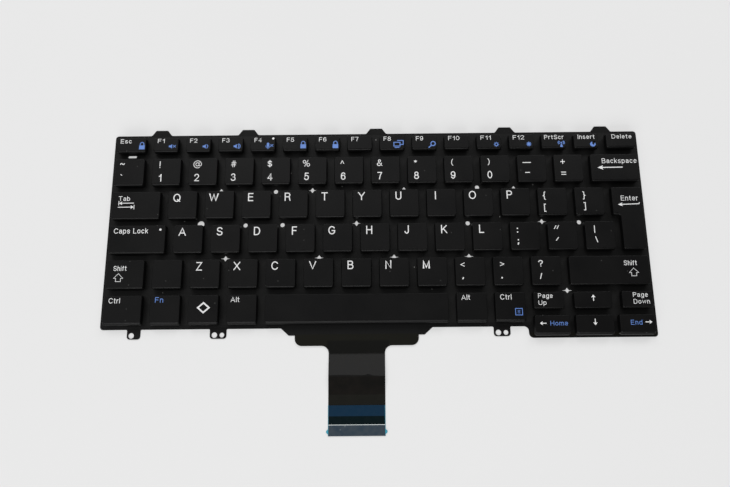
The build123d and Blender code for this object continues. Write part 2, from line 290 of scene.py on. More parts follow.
def finish(name, dark, light, roughness, grain, bump, dust=None, metallic=0.0, cloud=60.0, specular=0.5):
    # A finish of two close tones with grain, and dust where it is given as (scale, share, size, colour)
    material = bpy.data.materials.new(name)
    material.use_nodes = True
    tree = material.node_tree
    surface = addNode(tree, "Group", {"Grain": grain, "Cloud": cloud}, node_tree=grainGroup).outputs
    colour = colourMix(tree, surface["Tone"], (*dark, 1), (*light, 1))
    if dust:
        sizes = dict(zip(("Scale", "Share", "Size"), dust))
        specks = addNode(tree, "Group", sizes, node_tree=dustGroup)
        colour = colourMix(tree, specks.outputs["Mask"], colour, (*dust[3], 1))
    smooth, rough = roughness
    strength, depth = bump
    gloss = addNode(tree, "MapRange", {"Value": surface["Tone"], "To Min": smooth, "To Max": rough})
    relief = addNode(tree, "Bump", {"Strength": strength, "Distance": depth, "Height": surface["Height"]})
    values = {
        "Base Color": colour, "Roughness": gloss.outputs["Result"], "Normal": relief.outputs["Normal"],
        "Metallic": metallic, "Specular IOR Level": specular,
    }
    shader = tree.nodes["Principled BSDF"]
    for socket, value in values.items():
        feed(tree, shader.inputs[socket], value)
    return material


def repaint(material, mask, colour, inside=True):
    # Another colour over a finish's own, where the mask is 1 or where it is 0
    tree = material.node_tree
    socket = tree.nodes["Principled BSDF"].inputs["Base Color"]
    base = socket.links[0].from_socket
    layers = (base, colour) if inside else (colour, base)
    feed(tree, socket, colourMix(tree, mask, *layers))


def bandedAlongY(material, bands, front, back):
    # Bands across the tail: each stop is a place along Y and the colour from there backwards; on the tail,
    # the lighter neutral band over its rising bend is a painted sheen
    tree = material.node_tree
    split = addNode(tree, "SeparateXYZ", {"Vector": objectPlace(tree)})
    values = {"Value": split.outputs["Y"], "From Min": front * mm, "From Max": back * mm}
    along = addNode(tree, "MapRange", values)
    ramp = addNode(tree, "ValToRGB", {"Fac": along.outputs["Result"]})
    ramp.color_ramp.interpolation = "CONSTANT"
    stops = ramp.color_ramp.elements
    readyStops = len(stops)
    for number, (y, colour, share) in enumerate(bands):
        position = (y - front) / (back - front)
        stop = stops[number] if number < readyStops else stops.new(position)
        stop.position = position
        stop.color = (*colour, share)
    repaint(material, ramp.outputs["Alpha"], ramp.outputs["Color"])


patchSockets = {"Centre X": "x", "Half X": "halfX", "Centre Y": "y", "Half Y": "halfY", "Soft": "soft"}


def patched(material, patch, inside=True):
    # Another colour inside or outside a rectangle
    sizes = {socket: patch[key] * mm for socket, key in patchSockets.items()}
    mask = addNode(material.node_tree, "Group", sizes, node_tree=patchGroup)
    repaint(material, mask.outputs["Mask"], (*patch["colour"], 1), inside)


def grey(value):
    # The same value in all three channels
    return (value, value, value)


capPlastic = finish(
    "capPlastic", (0.0018, 0.0018, 0.0019), (0.0029, 0.0028, 0.0028), (0.37, 0.45), 5200, (0.12, 0.00003),
    dust=(160, 0.06, 0.035, (0.05, 0.05, 0.048)), specular=0.10,
)
whiteInk = finish("whiteInk", grey(0.56), grey(0.62), (0.5, 0.6), 4000, (0.05, 0.00002))
blueInk = finish("blueInk", (0.066, 0.148, 0.41), (0.086, 0.18, 0.47), (0.5, 0.6), 4000, (0.05, 0.00002))
platePaint = finish(
    "platePaint", grey(0.0046), grey(0.0075), (0.36, 0.46), 3000, (0.10, 0.00003),
    dust=(120, 0.04, 0.03, (0.10, 0.10, 0.095)), specular=0.06,
)
domeRubber = finish("domeRubber", (0.50, 0.50, 0.49), (0.60, 0.60, 0.58), (0.5, 0.6), 1800, (0.08, 0.00003))
hingeNylon = finish("hingeNylon", grey(0.012), grey(0.018), (0.45, 0.55), 2600, (0.08, 0.00003))
wireSteel = finish(
    "wireSteel", (0.52, 0.52, 0.53), (0.62, 0.62, 0.62), (0.28, 0.38), 2400, (0.06, 0.00002), metallic=1.0
)
print("finishes:", len(bpy.data.materials))


# Keycaps, from their boxes in the frame

def boxOf(node):
    # Left, right, front, back, low and high of a CAD node in millimetres
    low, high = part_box(node)
    return low.x / mm, high.x / mm, low.y / mm, high.y / mm, low.z / mm, high.z / mm


spanGap = 0.5      # millimetres; caps that stand further apart are separate
spanMargin = 0.1


def mergedSpans(starts, ends):
    # The stretches that overlapping intervals cover, from left to right
    order = np.argsort(starts)
    starts, reach = starts[order], np.maximum.accumulate(ends[order])
    fresh = np.concatenate([[True], starts[1:] > reach[:-1] + spanGap])
    lasts = np.concatenate([np.flatnonzero(fresh)[1:] - 1, [len(starts) - 1]])
    return list(zip(starts[fresh], reach[lasts]))


def capBoxesOf(node):
    # The boxes of the separate caps in one node, row by row from the back, from the spans of its triangles
    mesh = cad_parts[node].data
    corners = np.zeros(len(mesh.vertices) * 3)
    mesh.vertices.foreach_get("co", corners)
    triangles = np.zeros(len(mesh.polygons) * 3, int)
    mesh.polygons.foreach_get("vertices", triangles)
    spots = corners.reshape(-1, 3)[triangles.reshape(-1, 3)] / mm
    low, high = spots.min(1), spots.max(1)
    bottom, top = low[:, 2].min(), high[:, 2].max()
    boxes = []
    for front, back in reversed(mergedSpans(low[:, 1], high[:, 1])):
        row = (low[:, 1] > front - spanMargin) & (high[:, 1] < back + spanMargin)
        spans = mergedSpans(low[row, 0], high[row, 0])
        boxes += [(left, right, front, back, bottom, top) for left, right in spans]
    return boxes


capShape = {
    "draft": 0.3, "wall": 0.7, "roof": 1.0,         # as the CAD caps, in millimetres
    "corner": 1.15, "leastCorner": 0.3, "cornerSteps": 5,
    "edge": 0.2, "edgeSteps": 3, "flatRim": 0.12,   # rounding of the top edges, and a level strip inside it
    "slope": (0.5, 0.42), "bigSlope": (1.0, 0.9),   # depth and drop of the front edge
}
slopedKeys = "left_ctrl fn super left_alt space right_alt right_ctrl left down right".split()
homingKeys = ("f", "j")
homingBar = {
    "length": 5.0, "width": 0.62, "height": 0.2, "inset": 1.3,
    "levels": ((0.0, -0.05), (0.03, 0.5), (0.12, 0.85), (0.22, 1.0)),   # shrink, and share of the height
    "rounding": 0.98,                                                   # share of the half width
}


def kneeLine(points, reach, steps):
    # A line whose inner points are rounded by quadratic curves that start and end at reach from each point;
    # reach is one length or one for each inner point
    points = np.asarray(points, float)
    t = np.linspace(0, 1, steps + 1)[:, None]
    pieces = [points[:1]]
    reaches = np.broadcast_to(reach, len(points) - 2)
    for before, knee, after, near in zip(points[:-2], points[1:-1], points[2:], reaches):
        start = knee + near * unit(before - knee)
        end = knee + near * unit(after - knee)
        pieces.append((1 - t) ** 2 * start + 2 * t * (1 - t) * knee + t ** 2 * end)
    return np.concatenate(pieces)


def wallProfile(height, depth, drop, slopes):
    # Inset and height from the foot of a wall to the top: drafted wall, then the sloping edge or none
    draft = capShape["draft"]
    shoulder = draft * (height - drop) / height
    top = draft + (depth if slopes else 0.0)
    line = [(0, 0), (shoulder, height - drop), (top, height), (top + 1, height)]
    rounded = kneeLine(line, capShape["edge"], capShape["edgeSteps"])
    return np.concatenate([rounded, rounded[-1:] + (capShape["flatRim"], 0)])


def roundedRings(corners, inward, fronts, sideLine, frontLine):
    # Level k is the outline moved inwards by the profile's inset k, with its right-angled corners turned
    # to quarter circles; heights change from the side's to the front's profile along a corner
    corners, inward = np.asarray(corners, float), np.asarray(inward, float)
    frontEdge = np.asarray(fronts, bool)
    atFront = frontEdge | np.roll(frontEdge, 1)
    sideInset, frontInset = sideLine[:, :1], frontLine[:, :1]
    shiftX = sideInset * inward[:, 0]
    shiftY = np.where(atFront, frontInset, sideInset) * inward[:, 1]
    spots = corners + np.stack([shiftX, shiftY], -1)
    toPrevious = unit(np.roll(spots, 1, 1) - spots)[:, :, None]
    toNext = unit(np.roll(spots, -1, 1) - spots)[:, :, None]
    turnsLeft = np.cross(-toPrevious[0, :, 0], toNext[0, :, 0]) > 0
    radius = np.where(turnsLeft, capShape["corner"] - sideInset, capShape["corner"] + sideInset)
    radius = np.maximum(radius, capShape["leastCorner"])[:, :, None, None]
    angle = np.linspace(0, np.pi / 2, capShape["cornerSteps"] + 1)[None, None, :, None]
    centre = spots[:, :, None] + radius * (toPrevious + toNext)
    ring = centre - radius * (toNext * np.cos(angle) + toPrevious * np.sin(angle))
    share = (1 - np.cos(2 * angle[..., 0])) / 2
    weight = np.roll(frontEdge, 1)[None, :, None] * (1 - share) + frontEdge[None, :, None] * share
    height = sideLine[:, 1, None, None] * (1 - weight) + frontLine[:, 1, None, None] * weight
    return np.concatenate([ring, height[..., None]], -1).reshape(len(sideLine), -1, 3)


def capSolid(corners, inward, fronts, low, high, slope):
    # A hollow cap: up the hollow's wall from its ceiling to the foot, then up the outside to the flat top
    height = high - low
    inside = capShape["draft"] + capShape["wall"]
    hollow = np.array([(inside, height - capShape["roof"]), (inside, 0.0)])
    sides = np.concatenate([hollow, wallProfile(height, *slope, False)])
    front = np.concatenate([hollow, wallProfile(height, *slope, True)])
    points, faces = ringStack(roundedRings(corners, inward, fronts, sides, front))
    return points + (0, 0, low), faces


def boxCap(box, name):
    # A cap on a rectangle; the keys of the front row have a larger sloping edge
    left, right, front, back, low, high = box
    corners = [(left, front), (right, front), (right, back), (left, back)]
    inward = [(1, 1), (-1, 1), (-1, -1), (1, -1)]
    slope = capShape["bigSlope" if name in slopedKeys else "slope"]
    return capSolid(corners, inward, (1, 0, 0, 0), low, high, slope)


def enterStep():
    # The left side of the Enter key's lower part: one gap to the right of the key at the end of the row below
    gap = boxOf("key_backslash")[0] - boxOf("key_apostrophe")[1]
    return boxOf("key_backslash")[1] + gap


def enterCap(box):
    # The stepped Enter key, as deep as the row's other keys at its upper left
    left, right, front, back, low, high = box
    lowerLeft, step = enterStep(), boxOf("key_right_bracket")[2]
    corners = [(lowerLeft, front), (right, front), (right, back), (left, back)]
    corners += [(left, step), (lowerLeft, step)]
    inward = [(1, 1), (-1, 1), (-1, -1), (1, -1), (1, 1), (1, 1)]
    return capSolid(corners, inward, (1, 0, 0, 0, 1, 0), low, high, capShape["slope"])


def rectangle(halfX, halfY):
    # The corners of a rectangle about the origin, counter-clockwise
    return [(-halfX, -halfY), (halfX, -halfY), (halfX, halfY), (-halfX, halfY)]


def homingSolid(box):
    # The finger bar: a rounded strip whose outline shrinks to its flat top
    left, right, front, _, _, high = box
    middle = np.array([(left + right) / 2, front + capShape["draft"] + homingBar["inset"]])
    rings = []
    for shrink, rise in homingBar["levels"]:
        halfLength, halfWidth = homingBar["length"] / 2 - shrink, homingBar["width"] / 2 - shrink
        radius = halfWidth * homingBar["rounding"]
        outline = middle + filletOutline([(x, y, radius) for x, y in rectangle(halfLength, halfWidth)], 4)
        rings.append(np.column_stack([outline, np.full(len(outline), high + rise * homingBar["height"])]))
    return ringStack(rings)


# Lettering: a stroke alphabet in units of the capital height

def bow(x, y, radiusX, radiusY, start, stop, steps=14):
    # An arc of an ellipse from start to stop degrees
    angle = np.radians(np.linspace(start, stop, steps + 1))
    return np.stack([x + radiusX * np.cos(angle), y + radiusY * np.sin(angle)], -1)


def chain(*runs):
    # Points and arcs joined into one stroke
    return np.concatenate([np.atleast_2d(np.asarray(run, float)) for run in runs])


def oval(x, y, radiusX, radiusY, steps=24):
    # A whole ellipse, which ends where it starts
    return bow(x, y, radiusX, radiusY, 0, 360, steps)


def letterS(x, y, width, height):
    # The S shape: a left-turning arc that runs into a right-turning one
    rx, ry = width / 2, height / 4
    top = bow(x + rx, y + 3 * ry, rx * 0.94, ry, 22, 270)
    return chain(top, bow(x + rx, y + ry, rx, ry, 90, -160))


stem = [(0, 0), (0, 1)]
shortStem = [(0, 0), (0, 0.72)]
bowl = oval(0.24, 0.36, 0.24, 0.36)
ringO = oval(0.39, 0.5, 0.39, 0.5)
levelBar = [(0, 0.5), (1, 0.5)]
glyphs = {  # character: width over the centre lines, strokes
    " ": (0.16, []),
    "A": (0.78, [[(0, 0), (0.39, 1), (0.78, 0)], [(0.14, 0.31), (0.64, 0.31)]]),
    "B": (0.60, [stem, chain((0, 1), bow(0.34, 0.765, 0.21, 0.235, 90, -90), (0, 0.53)),
                 chain((0, 0.53), bow(0.35, 0.265, 0.25, 0.265, 90, -90), (0, 0))]),
    "C": (0.72, [bow(0.38, 0.5, 0.38, 0.5, 38, 322, 24)]),
    "D": (0.66, [stem, chain((0, 1), bow(0.28, 0.5, 0.38, 0.5, 90, -90, 20), (0, 0))]),
    "E": (0.54, [[(0.53, 1), (0, 1), (0, 0), (0.54, 0)], [(0, 0.53), (0.49, 0.53)]]),
    "F": (0.50, [[(0.50, 1), (0, 1), (0, 0)], [(0, 0.51), (0.43, 0.51)]]),
    "G": (0.74, [chain(bow(0.38, 0.5, 0.38, 0.5, 40, 326, 24), (0.73, 0.46), (0.42, 0.46))]),
    "H": (0.62, [stem, [(0.62, 0), (0.62, 1)], [(0, 0.52), (0.62, 0.52)]]),
    "I": (0.0, [stem]),
    "J": (0.42, [chain((0.42, 1), bow(0.21, 0.27, 0.21, 0.27, 0, -172))]),
    "K": (0.62, [stem, [(0.60, 1), (0, 0.36)], [(0.21, 0.57), (0.63, 0)]]),
    "L": (0.48, [[(0, 1), (0, 0), (0.48, 0)]]),
    "M": (0.74, [[(0, 0), (0, 1), (0.37, 0.02), (0.74, 1), (0.74, 0)]]),
    "N": (0.61, [[(0, 0), (0, 1), (0.61, 0), (0.61, 1)]]),
    "O": (0.78, [ringO]),
    "P": (0.57, [stem, chain((0, 1), bow(0.32, 0.735, 0.25, 0.265, 90, -90), (0, 0.47))]),
    "Q": (0.78, [ringO, [(0.48, 0.24), (0.76, -0.02)]]),
    "R": (0.62, [stem, chain((0, 1), bow(0.34, 0.745, 0.25, 0.255, 90, -90), (0, 0.49)),
                 chain((0.30, 0.49), bow(0.36, 0.29, 0.20, 0.20, 90, 0, 6), (0.57, 0.10), (0.62, 0))]),
    "S": (0.60, [letterS(0, 0, 0.60, 1)]),
    "T": (0.66, [[(0, 1), (0.66, 1)], [(0.33, 0), (0.33, 1)]]),
    "U": (0.61, [chain((0, 1), bow(0.305, 0.31, 0.305, 0.31, 180, 360), (0.61, 1))]),
    "V": (0.76, [[(0, 1), (0.38, 0), (0.76, 1)]]),
    "W": (1.10, [[(0, 1), (0.27, 0), (0.55, 1), (0.83, 0), (1.10, 1)]]),
    "X": (0.72, [[(0.02, 1), (0.72, 0)], [(0.70, 1), (0, 0)]]),
    "Y": (0.74, [[(0, 1), (0.37, 0.44), (0.74, 1)], [(0.37, 0.46), (0.37, 0)]]),
    "Z": (0.62, [[(0.02, 1), (0.62, 1), (0, 0), (0.62, 0)]]),
    "0": (0.52, [oval(0.26, 0.5, 0.26, 0.5)]),
    "1": (0.24, [[(0.24, 0), (0.24, 1)], [(0, 0.73), (0.14, 0.78), (0.24, 1)]]),
    "2": (0.52, [chain(bow(0.26, 0.71, 0.26, 0.29, 172, -32), (0, 0), (0.53, 0))]),
    "3": (0.52, [chain(bow(0.25, 0.76, 0.22, 0.24, 165, -90), bow(0.25, 0.265, 0.27, 0.265, 90, -165))]),
    "4": (0.56, [[(0.42, 0), (0.42, 1), (0, 0.27), (0.57, 0.27)]]),
    "5": (0.52, [chain((0.48, 1), (0.10, 1), (0.04, 0.49), bow(0.25, 0.33, 0.27, 0.33, 125, -162))]),
    "6": (0.52, [oval(0.265, 0.31, 0.255, 0.31), bow(0.28, 0.5, 0.27, 0.5, 38, 205)]),
    "7": (0.52, [[(0, 1), (0.52, 1), (0.32, 0.55), (0.20, 0)]]),
    "8": (0.52, [oval(0.26, 0.76, 0.215, 0.24), oval(0.26, 0.265, 0.265, 0.265)]),
    "9": (0.52, [oval(0.255, 0.69, 0.255, 0.31), bow(0.24, 0.5, 0.27, 0.5, -142, 25)]),
    "!": (0.0, [[(0, 0.30), (0, 1)], [(0, 0), (0, 0.01)]]),
    "@": (0.96, [bow(0.48, 0.5, 0.48, 0.5, -8, 302, 28), oval(0.46, 0.5, 0.20, 0.23),
                 chain((0.68, 0.74), (0.66, 0.34), bow(0.81, 0.42, 0.15, 0.14, 210, 350, 8))]),
    "#": (0.66, [[(0.19, 0), (0.24, 1)], [(0.44, 0), (0.49, 1)], [(0.04, 0.67), (0.66, 0.67)],
                 [(0, 0.33), (0.62, 0.33)]]),
    "$": (0.56, [letterS(0, 0.12, 0.56, 0.76), [(0.28, 0), (0.28, 1)]]),
    "%": (0.94, [oval(0.19, 0.76, 0.19, 0.24), oval(0.75, 0.24, 0.19, 0.24), [(0.24, 0), (0.70, 1)]]),
    "^": (0.44, [[(0, 0), (0.22, 1), (0.44, 0)]]),
    "&": (0.70, [chain((0.70, 0), (0.20, 0.60), bow(0.33, 0.81, 0.16, 0.19, 205, -30), (0.16, 0.44),
                       bow(0.27, 0.23, 0.27, 0.23, 125, 295), (0.64, 0.42))]),
    "*": (0.8, [[(0.4, 0), (0.4, 1)], [(0, 0.27), (0.8, 0.73)], [(0, 0.73), (0.8, 0.27)]]),
    "(": (0.22, [bow(0.44, 0.5, 0.44, 0.72, 136, 224)]),
    ")": (0.22, [bow(-0.22, 0.5, 0.44, 0.72, 44, -44)]),
    "_": (1.0, [levelBar]),
    "-": (1.0, [levelBar]),
    "+": (1.0, [levelBar, [(0.5, 0), (0.5, 1)]]),
    "=": (1.0, [[(0, 0), (1, 0)], [(0, 1), (1, 1)]]),
    "{": (0.26, [[(0.28, 1), (0.16, 0.95), (0.15, 0.60), (0, 0.5), (0.15, 0.40), (0.16, 0.05), (0.28, 0)]]),
    "}": (0.26, [[(0, 1), (0.12, 0.95), (0.13, 0.60), (0.28, 0.5), (0.13, 0.40), (0.12, 0.05), (0, 0)]]),
    "[": (0.22, [[(0.22, 1), (0, 1), (0, 0), (0.22, 0)]]),
    "]": (0.22, [[(0, 1), (0.22, 1), (0.22, 0), (0, 0)]]),
    "|": (0.0, [stem]),
    "\\": (0.35, [[(0, 1), (0.35, 0)]]),
    "/": (0.35, [[(0, 0), (0.35, 1)]]),
    ":": (0.0, [[(0, 0), (0, 0.02)], [(0, 0.98), (0, 1)]]),
    ";": (0.1, [[(0, 0), (0.1, 0.28)], [(0.1, 0.98), (0.1, 1)]]),
    "\"": (0.9, [[(0, 0), (0.35, 1)], [(0.55, 0), (0.9, 1)]]),
    "'": (0.4, [[(0, 0), (0.4, 1)]]),
    "<": (1.0, [[(1, 1), (0, 0.5), (1, 0)]]),
    ">": (1.0, [[(0, 1), (1, 0.5), (0, 0)]]),
    ",": (0.3, [[(0, 0), (0.3, 1)]]),
    ".": (0.0, [[(0, 0), (0, 0.02)]]),
    "?": (0.52, [chain(bow(0.26, 0.74, 0.26, 0.26, 170, -40), (0.27, 0.40), (0.26, 0.27)),
                 [(0.26, 0), (0.26, 0.01)]]),
    "~": (1.0, [chain(bow(0.25, 0.3, 0.25, 0.5, 180, 20, 8), bow(0.75, 0.7, 0.25, 0.5, -160, 0, 8))]),
    "`": (1.0, [[(0, 1), (1, 0)]]),
    "a": (0.45, [chain(bow(0.22, 0.51, 0.20, 0.21, 165, 0, 10), (0.42, 0.10), (0.46, 0)),
                 chain((0.42, 0.43), bow(0.17, 0.20, 0.17, 0.20, 95, 270, 10), (0.42, 0.16))]),
    "b": (0.48, [stem, bowl]),
    "c": (0.44, [bow(0.23, 0.36, 0.23, 0.36, 40, 320, 18)]),
    "d": (0.48, [[(0.48, 0), (0.48, 1)], bowl]),
    "e": (0.48, [chain((0, 0.37), (0.48, 0.37), bow(0.24, 0.36, 0.24, 0.36, 2, 318, 20))]),
    "f": (0.27, [chain((0.11, 0), (0.11, 0.80), bow(0.27, 0.82, 0.16, 0.18, 180, 95, 6)),
                 [(0, 0.70), (0.27, 0.70)]]),
    "g": (0.48, [bowl, chain((0.48, 0.72), bow(0.25, -0.08, 0.23, 0.20, 0, -155, 10))]),
    "h": (0.42, [stem, chain(bow(0.21, 0.48, 0.21, 0.24, 170, 0, 10), (0.42, 0))]),
    "i": (0.0, [[(0, 0), (0, 0.70)], [(0, 0.99), (0, 1)]]),
    "k": (0.42, [stem, [(0.40, 0.72), (0, 0.27)], [(0.14, 0.43), (0.43, 0)]]),
    "l": (0.0, [stem]),
    "m": (0.74, [shortStem, chain(bow(0.185, 0.50, 0.185, 0.22, 170, 0, 10), (0.37, 0)),
                 chain(bow(0.555, 0.50, 0.185, 0.22, 170, 0, 10), (0.74, 0))]),
    "n": (0.42, [shortStem, chain(bow(0.21, 0.48, 0.21, 0.24, 170, 0, 10), (0.42, 0))]),
    "o": (0.48, [bowl]),
    "p": (0.48, [[(0, -0.26), (0, 0.72)], bowl]),
    "r": (0.25, [shortStem, bow(0.24, 0.42, 0.24, 0.30, 165, 85, 8)]),
    "s": (0.42, [letterS(0, 0, 0.42, 0.72)]),
    "t": (0.27, [chain((0.11, 0.95), (0.11, 0.16), bow(0.26, 0.15, 0.15, 0.15, 185, 265, 6)),
                 [(0, 0.70), (0.27, 0.70)]]),
    "w": (0.70, [[(0, 0.72), (0.18, 0), (0.35, 0.72), (0.52, 0), (0.70, 0.72)]]),
}
inkShape = {
    "thickness": 0.02, "sink": 0.02, "step": 0.003,   # millimetres
    "miterLimit": 1.7, "leastCosine": 0.05,
    "spacing": 0.3, "leastWidth": 0.01,               # in units of the capital height
}
white, blue = 1, 2   # material slots of a cap
tiny = 1e-6


def strip(points, weight, low=None, high=None):
    # Both sides of a stroke of even weight, mitred at its bends, with square ends; low and high cut it level
    points = np.asarray(points, float)
    closed = len(points) > 3 and np.allclose(points[0], points[-1])
    if closed:
        points = points[:-1]
    keep = np.linalg.norm(np.roll(points, -1, 0) - points, axis=-1) > tiny
    if not closed:
        keep[-1] = True
    points = points[keep]
    ahead = unit(np.roll(points, -1, 0) - points)
    behind = np.roll(ahead, 1, 0)
    if not closed:
        behind[0] = ahead[0]
        ahead[-1] = behind[-1]
        points[0] -= ahead[0] * weight / 2
        points[-1] += behind[-1] * weight / 2
    mean = ahead + behind
    normal = unit(np.stack([-mean[:, 1], mean[:, 0]], -1))
    aheadNormal = np.stack([-ahead[:, 1], ahead[:, 0]], -1)
    cosine = np.maximum(np.sum(normal * aheadNormal, -1), inkShape["leastCosine"])
    stretch = np.minimum(1 / cosine, inkShape["miterLimit"])
    side = normal * stretch[:, None] * weight / 2
    left, right = points + side, points - side
    if low is not None:
        left[:, 1] = np.clip(left[:, 1], low, high)
        right[:, 1] = np.clip(right[:, 1], low, high)
    return left, right, closed


def textRun(text):
    # Centre lines of a word in units of the capital height, with its whole width
    lines = []
    pen = 0.0
    gap = 0.0
    for character in text:
        width, strokes = glyphs[character]
        pen += gap
        lines += [np.asarray(stroke, float) + (pen, 0) for stroke in strokes]
        pen += width
        gap = inkShape["spacing"]
    return lines, max(pen, inkShape["leastWidth"])


def word(text, x0, x1, top, height, weight, ink=white):
    # A word whose capitals fill the width from x0 to x1 and the height below top; Y runs down a cap here
    lines, width = textRun(text)
    strips = []
    for line in lines:
        x = x0 + weight / 2 + line[:, 0] * (x1 - x0 - weight) / width
        y = top + weight / 2 + (1 - line[:, 1]) * (height - weight)
        bottom = max(top + height, y.max() + weight / 2)
        strips.append(strip(np.stack([x, y], -1), weight, top, bottom))
    return {"ink": ink, "strips": strips, "fills": []}


def letter(character, middle=4.45, top=1.22, height=4.35, weight=0.52, stretch=1.06):
    # A single large letter, centred on its place
    width = glyphs[character][0] * (height - weight) * stretch + weight
    return word(character, middle - width / 2, middle + width / 2, top, height, weight)


def symbol(character, x0, x1, y0, y1, weight=0.42, ink=white):
    # A sign that fills a box
    strokes = [np.asarray(stroke, float) for stroke in glyphs[character][1]]
    every = np.concatenate(strokes)
    low, high = every.min(0), every.max(0)
    size = np.maximum(high - low, inkShape["leastWidth"])
    room = np.array([x1 - x0, y1 - y0]) - weight
    strips = []
    for stroke in strokes:
        share = (stroke - low) / size
        x = x0 + weight / 2 + share[:, 0] * room[0]
        y = y0 + weight / 2 + (1 - share[:, 1]) * room[1]
        strips.append(strip(np.stack([x, y], -1), weight, y0, y1))
    return {"ink": ink, "strips": strips, "fills": []}


def drawing(ink, lines=(), fills=(), place=(0, 0)):
    # A sign of strokes (points, weight) and filled outlines, moved to its place on a cap
    strips = [strip(np.asarray(points, float) + place, weight) for points, weight in lines]
    return {"ink": ink, "strips": strips, "fills": [np.asarray(outline, float) + place for outline in fills]}


arrowShape = {
    "overlap": 0.3, "notch": 0.2,         # shares of the head's length
    "barGap": 0.15, "barWeight": 0.85,    # millimetres, and a share of the stroke's weight
}


def arrow(tip, tail, head, half, weight, ink=white, bar=False):
    # An arrow with a filled head of its own length and half width; a bar may stand at its tip
    tip, tail = np.asarray(tip, float), np.asarray(tail, float)
    along = unit(tail - tip)
    across = half * np.array([-along[1], along[0]])
    base = tip + along * head
    lines = [([base - along * head * arrowShape["overlap"], tail], weight)]
    if bar:
        stop = tip - along * arrowShape["barGap"]
        lines.append(([stop + across, stop - across], weight * arrowShape["barWeight"]))
    notch = base - along * head * arrowShape["notch"]
    return drawing(ink, lines, [[tip, base + across, notch, base - across]])


# Signs, each drawn about its own middle in millimetres, with Y down the cap
signWeight = {
    "shackle": 0.42, "wave": 0.36, "cross": 0.3, "cup": 0.32, "stand": 0.34, "screen": 0.45, "lens": 0.5,
    "handle": 0.55, "ray": 0.3, "ring": 0.4, "signal": 0.3, "menu": 0.34, "menuLine": 0.24, "shift": 0.23,
    "diamond": 0.75,
}


def disc(radius, y=0, steps=18):
    # The points of a circle, without the last, which is the first again
    return oval(0, y, radius, radius, steps)[:-1]


def crossLines(left, right, high, low):
    # The small cross of a sign for silence
    strokes = ([(left, high), (right, low)], [(right, high), (left, low)])
    return [(stroke, signWeight["cross"]) for stroke in strokes]


def padlock(x, y):
    # A square body under a bowed shackle
    body = [(-1.45, 0.1), (1.45, 0.1), (1.45, 2.3), (-1.45, 2.3)]
    shackle = chain((-0.95, 0.2), bow(0, -0.6, 0.95, 1.0, 180, 360, 10), (0.95, 0.2))
    return drawing(blue, [(shackle, signWeight["shackle"])], [body], (x, y))


def speaker(x, y, waves=0, muted=False):
    # A horn, with growing arcs or a cross at its mouth
    horn = [(-1.5, -0.5), (-0.8, -0.5), (0.2, -1.2), (0.2, 1.2), (-0.8, 0.5), (-1.5, 0.5)]
    arcs = [bow(-0.3, 0, 0.75 + 0.75 * n, 0.8 + 0.45 * n, -48, 48, 8) for n in range(1, waves + 1)]
    lines = [(arc, signWeight["wave"]) for arc in arcs]
    if muted:
        lines += crossLines(0.8, 2.0, -0.55, 0.55)
    return drawing(blue, lines, [horn], (x, y))


def microphone(x, y):
    # A capsule in a cup on a short stand, with a cross beside it
    body = chain(bow(0, -0.9, 0.65, 0.65, 180, 360, 8), bow(0, 0.3, 0.65, 0.65, 0, 180, 8))
    cup = bow(0, 0.2, 1.15, 1.15, 5, 175, 10)
    lines = [(cup, signWeight["cup"]), ([(0, 1.3), (0, 1.9)], signWeight["stand"])]
    return drawing(blue, lines + crossLines(1.5, 2.6, -0.5, 0.6), [body], (x, y))


def twoScreens(x, y):
    # A screen on a foot, and the edge of another behind it
    rear = [(-0.3, -1.9), (2.6, -1.9), (2.6, 0.3), (1.3, 0.3)]
    front = [(-2.3, -0.9), (0.9, -0.9), (0.9, 1.2), (-2.3, 1.2), (-2.3, -0.9)]
    foot = [(-1.7, 1.95), (0.3, 1.95)]
    return drawing(blue, [(line, signWeight["screen"]) for line in (rear, front, foot)], (), (x, y))


def magnifier(x, y):
    # A ring with a slanting handle
    lens, handle = oval(0.6, -0.5, 1.15, 1.15), [(-0.3, 0.4), (-1.6, 1.6)]
    return drawing(blue, [(lens, signWeight["lens"]), (handle, signWeight["handle"])], (), (x, y))


def sun(x, y, filled):
    # A disc or a ring with eight short rays
    angles = np.radians(np.arange(0, 360, 45))
    rays = [np.outer((1.05, 1.2), (math.cos(angle), math.sin(angle))) for angle in angles]
    lines = [(ray, signWeight["ray"]) for ray in rays]
    if filled:
        return drawing(blue, lines, [disc(0.9)], (x, y))
    return drawing(blue, lines + [(oval(0, 0, 0.75, 0.75), signWeight["ring"])], (), (x, y))


def antenna(x, y):
    # A mast under a ball, with two arcs on each side
    mast = [(-0.75, 1.7), (-0.2, -0.2), (0.2, -0.2), (0.75, 1.7)]
    arcs = [bow(0, -0.75, 0.62 + 0.55 * n, 0.55 + 0.35 * n, middle - 42, middle + 42, 8)
            for n in (1, 2) for middle in (0, 180)]
    return drawing(blue, [(arc, signWeight["signal"]) for arc in arcs], [mast, disc(0.42, -0.75, 12)], (x, y))


def moon(x, y):
    # A crescent between an outer and an inner arc
    outer = bow(0, 0, 1.45, 1.35, -95, -395, 20)
    inner = bow(0.75, -0.55, 1.05, 1.05, -30, -255, 14)[::-1]
    return drawing(blue, (), [np.concatenate([outer, inner])], (x, y))


def menuBox(x, y):
    # A square frame round three lines
    edge = rectangle(1.7, 1.6)
    lines = [(edge + edge[:1], signWeight["menu"])]
    lines += [([(-0.5, level), (0.5, level)], signWeight["menuLine"]) for level in (-0.6, 0.0, 0.6)]
    return drawing(blue, lines, (), (x, y))


def houseArrow(x, y):
    # The outlined arrow of the Shift keys, from its tip down the right side and back up the left
    right = [(0, -2.0), (2.35, 0.35), (1.25, 0.35), (1.25, 2.0)]
    left = [(-across, down) for across, down in reversed(right)]
    return drawing(white, [(right + left, signWeight["shift"])], (), (x, y))


def hollowDiamond(x, y):
    # A plain sign for the system key
    line = [(0, -2.4), (2.8, 0), (0, 2.4), (-2.8, 0), (0, -2.4)]
    return drawing(white, [(line, signWeight["diamond"])], (), (x, y))


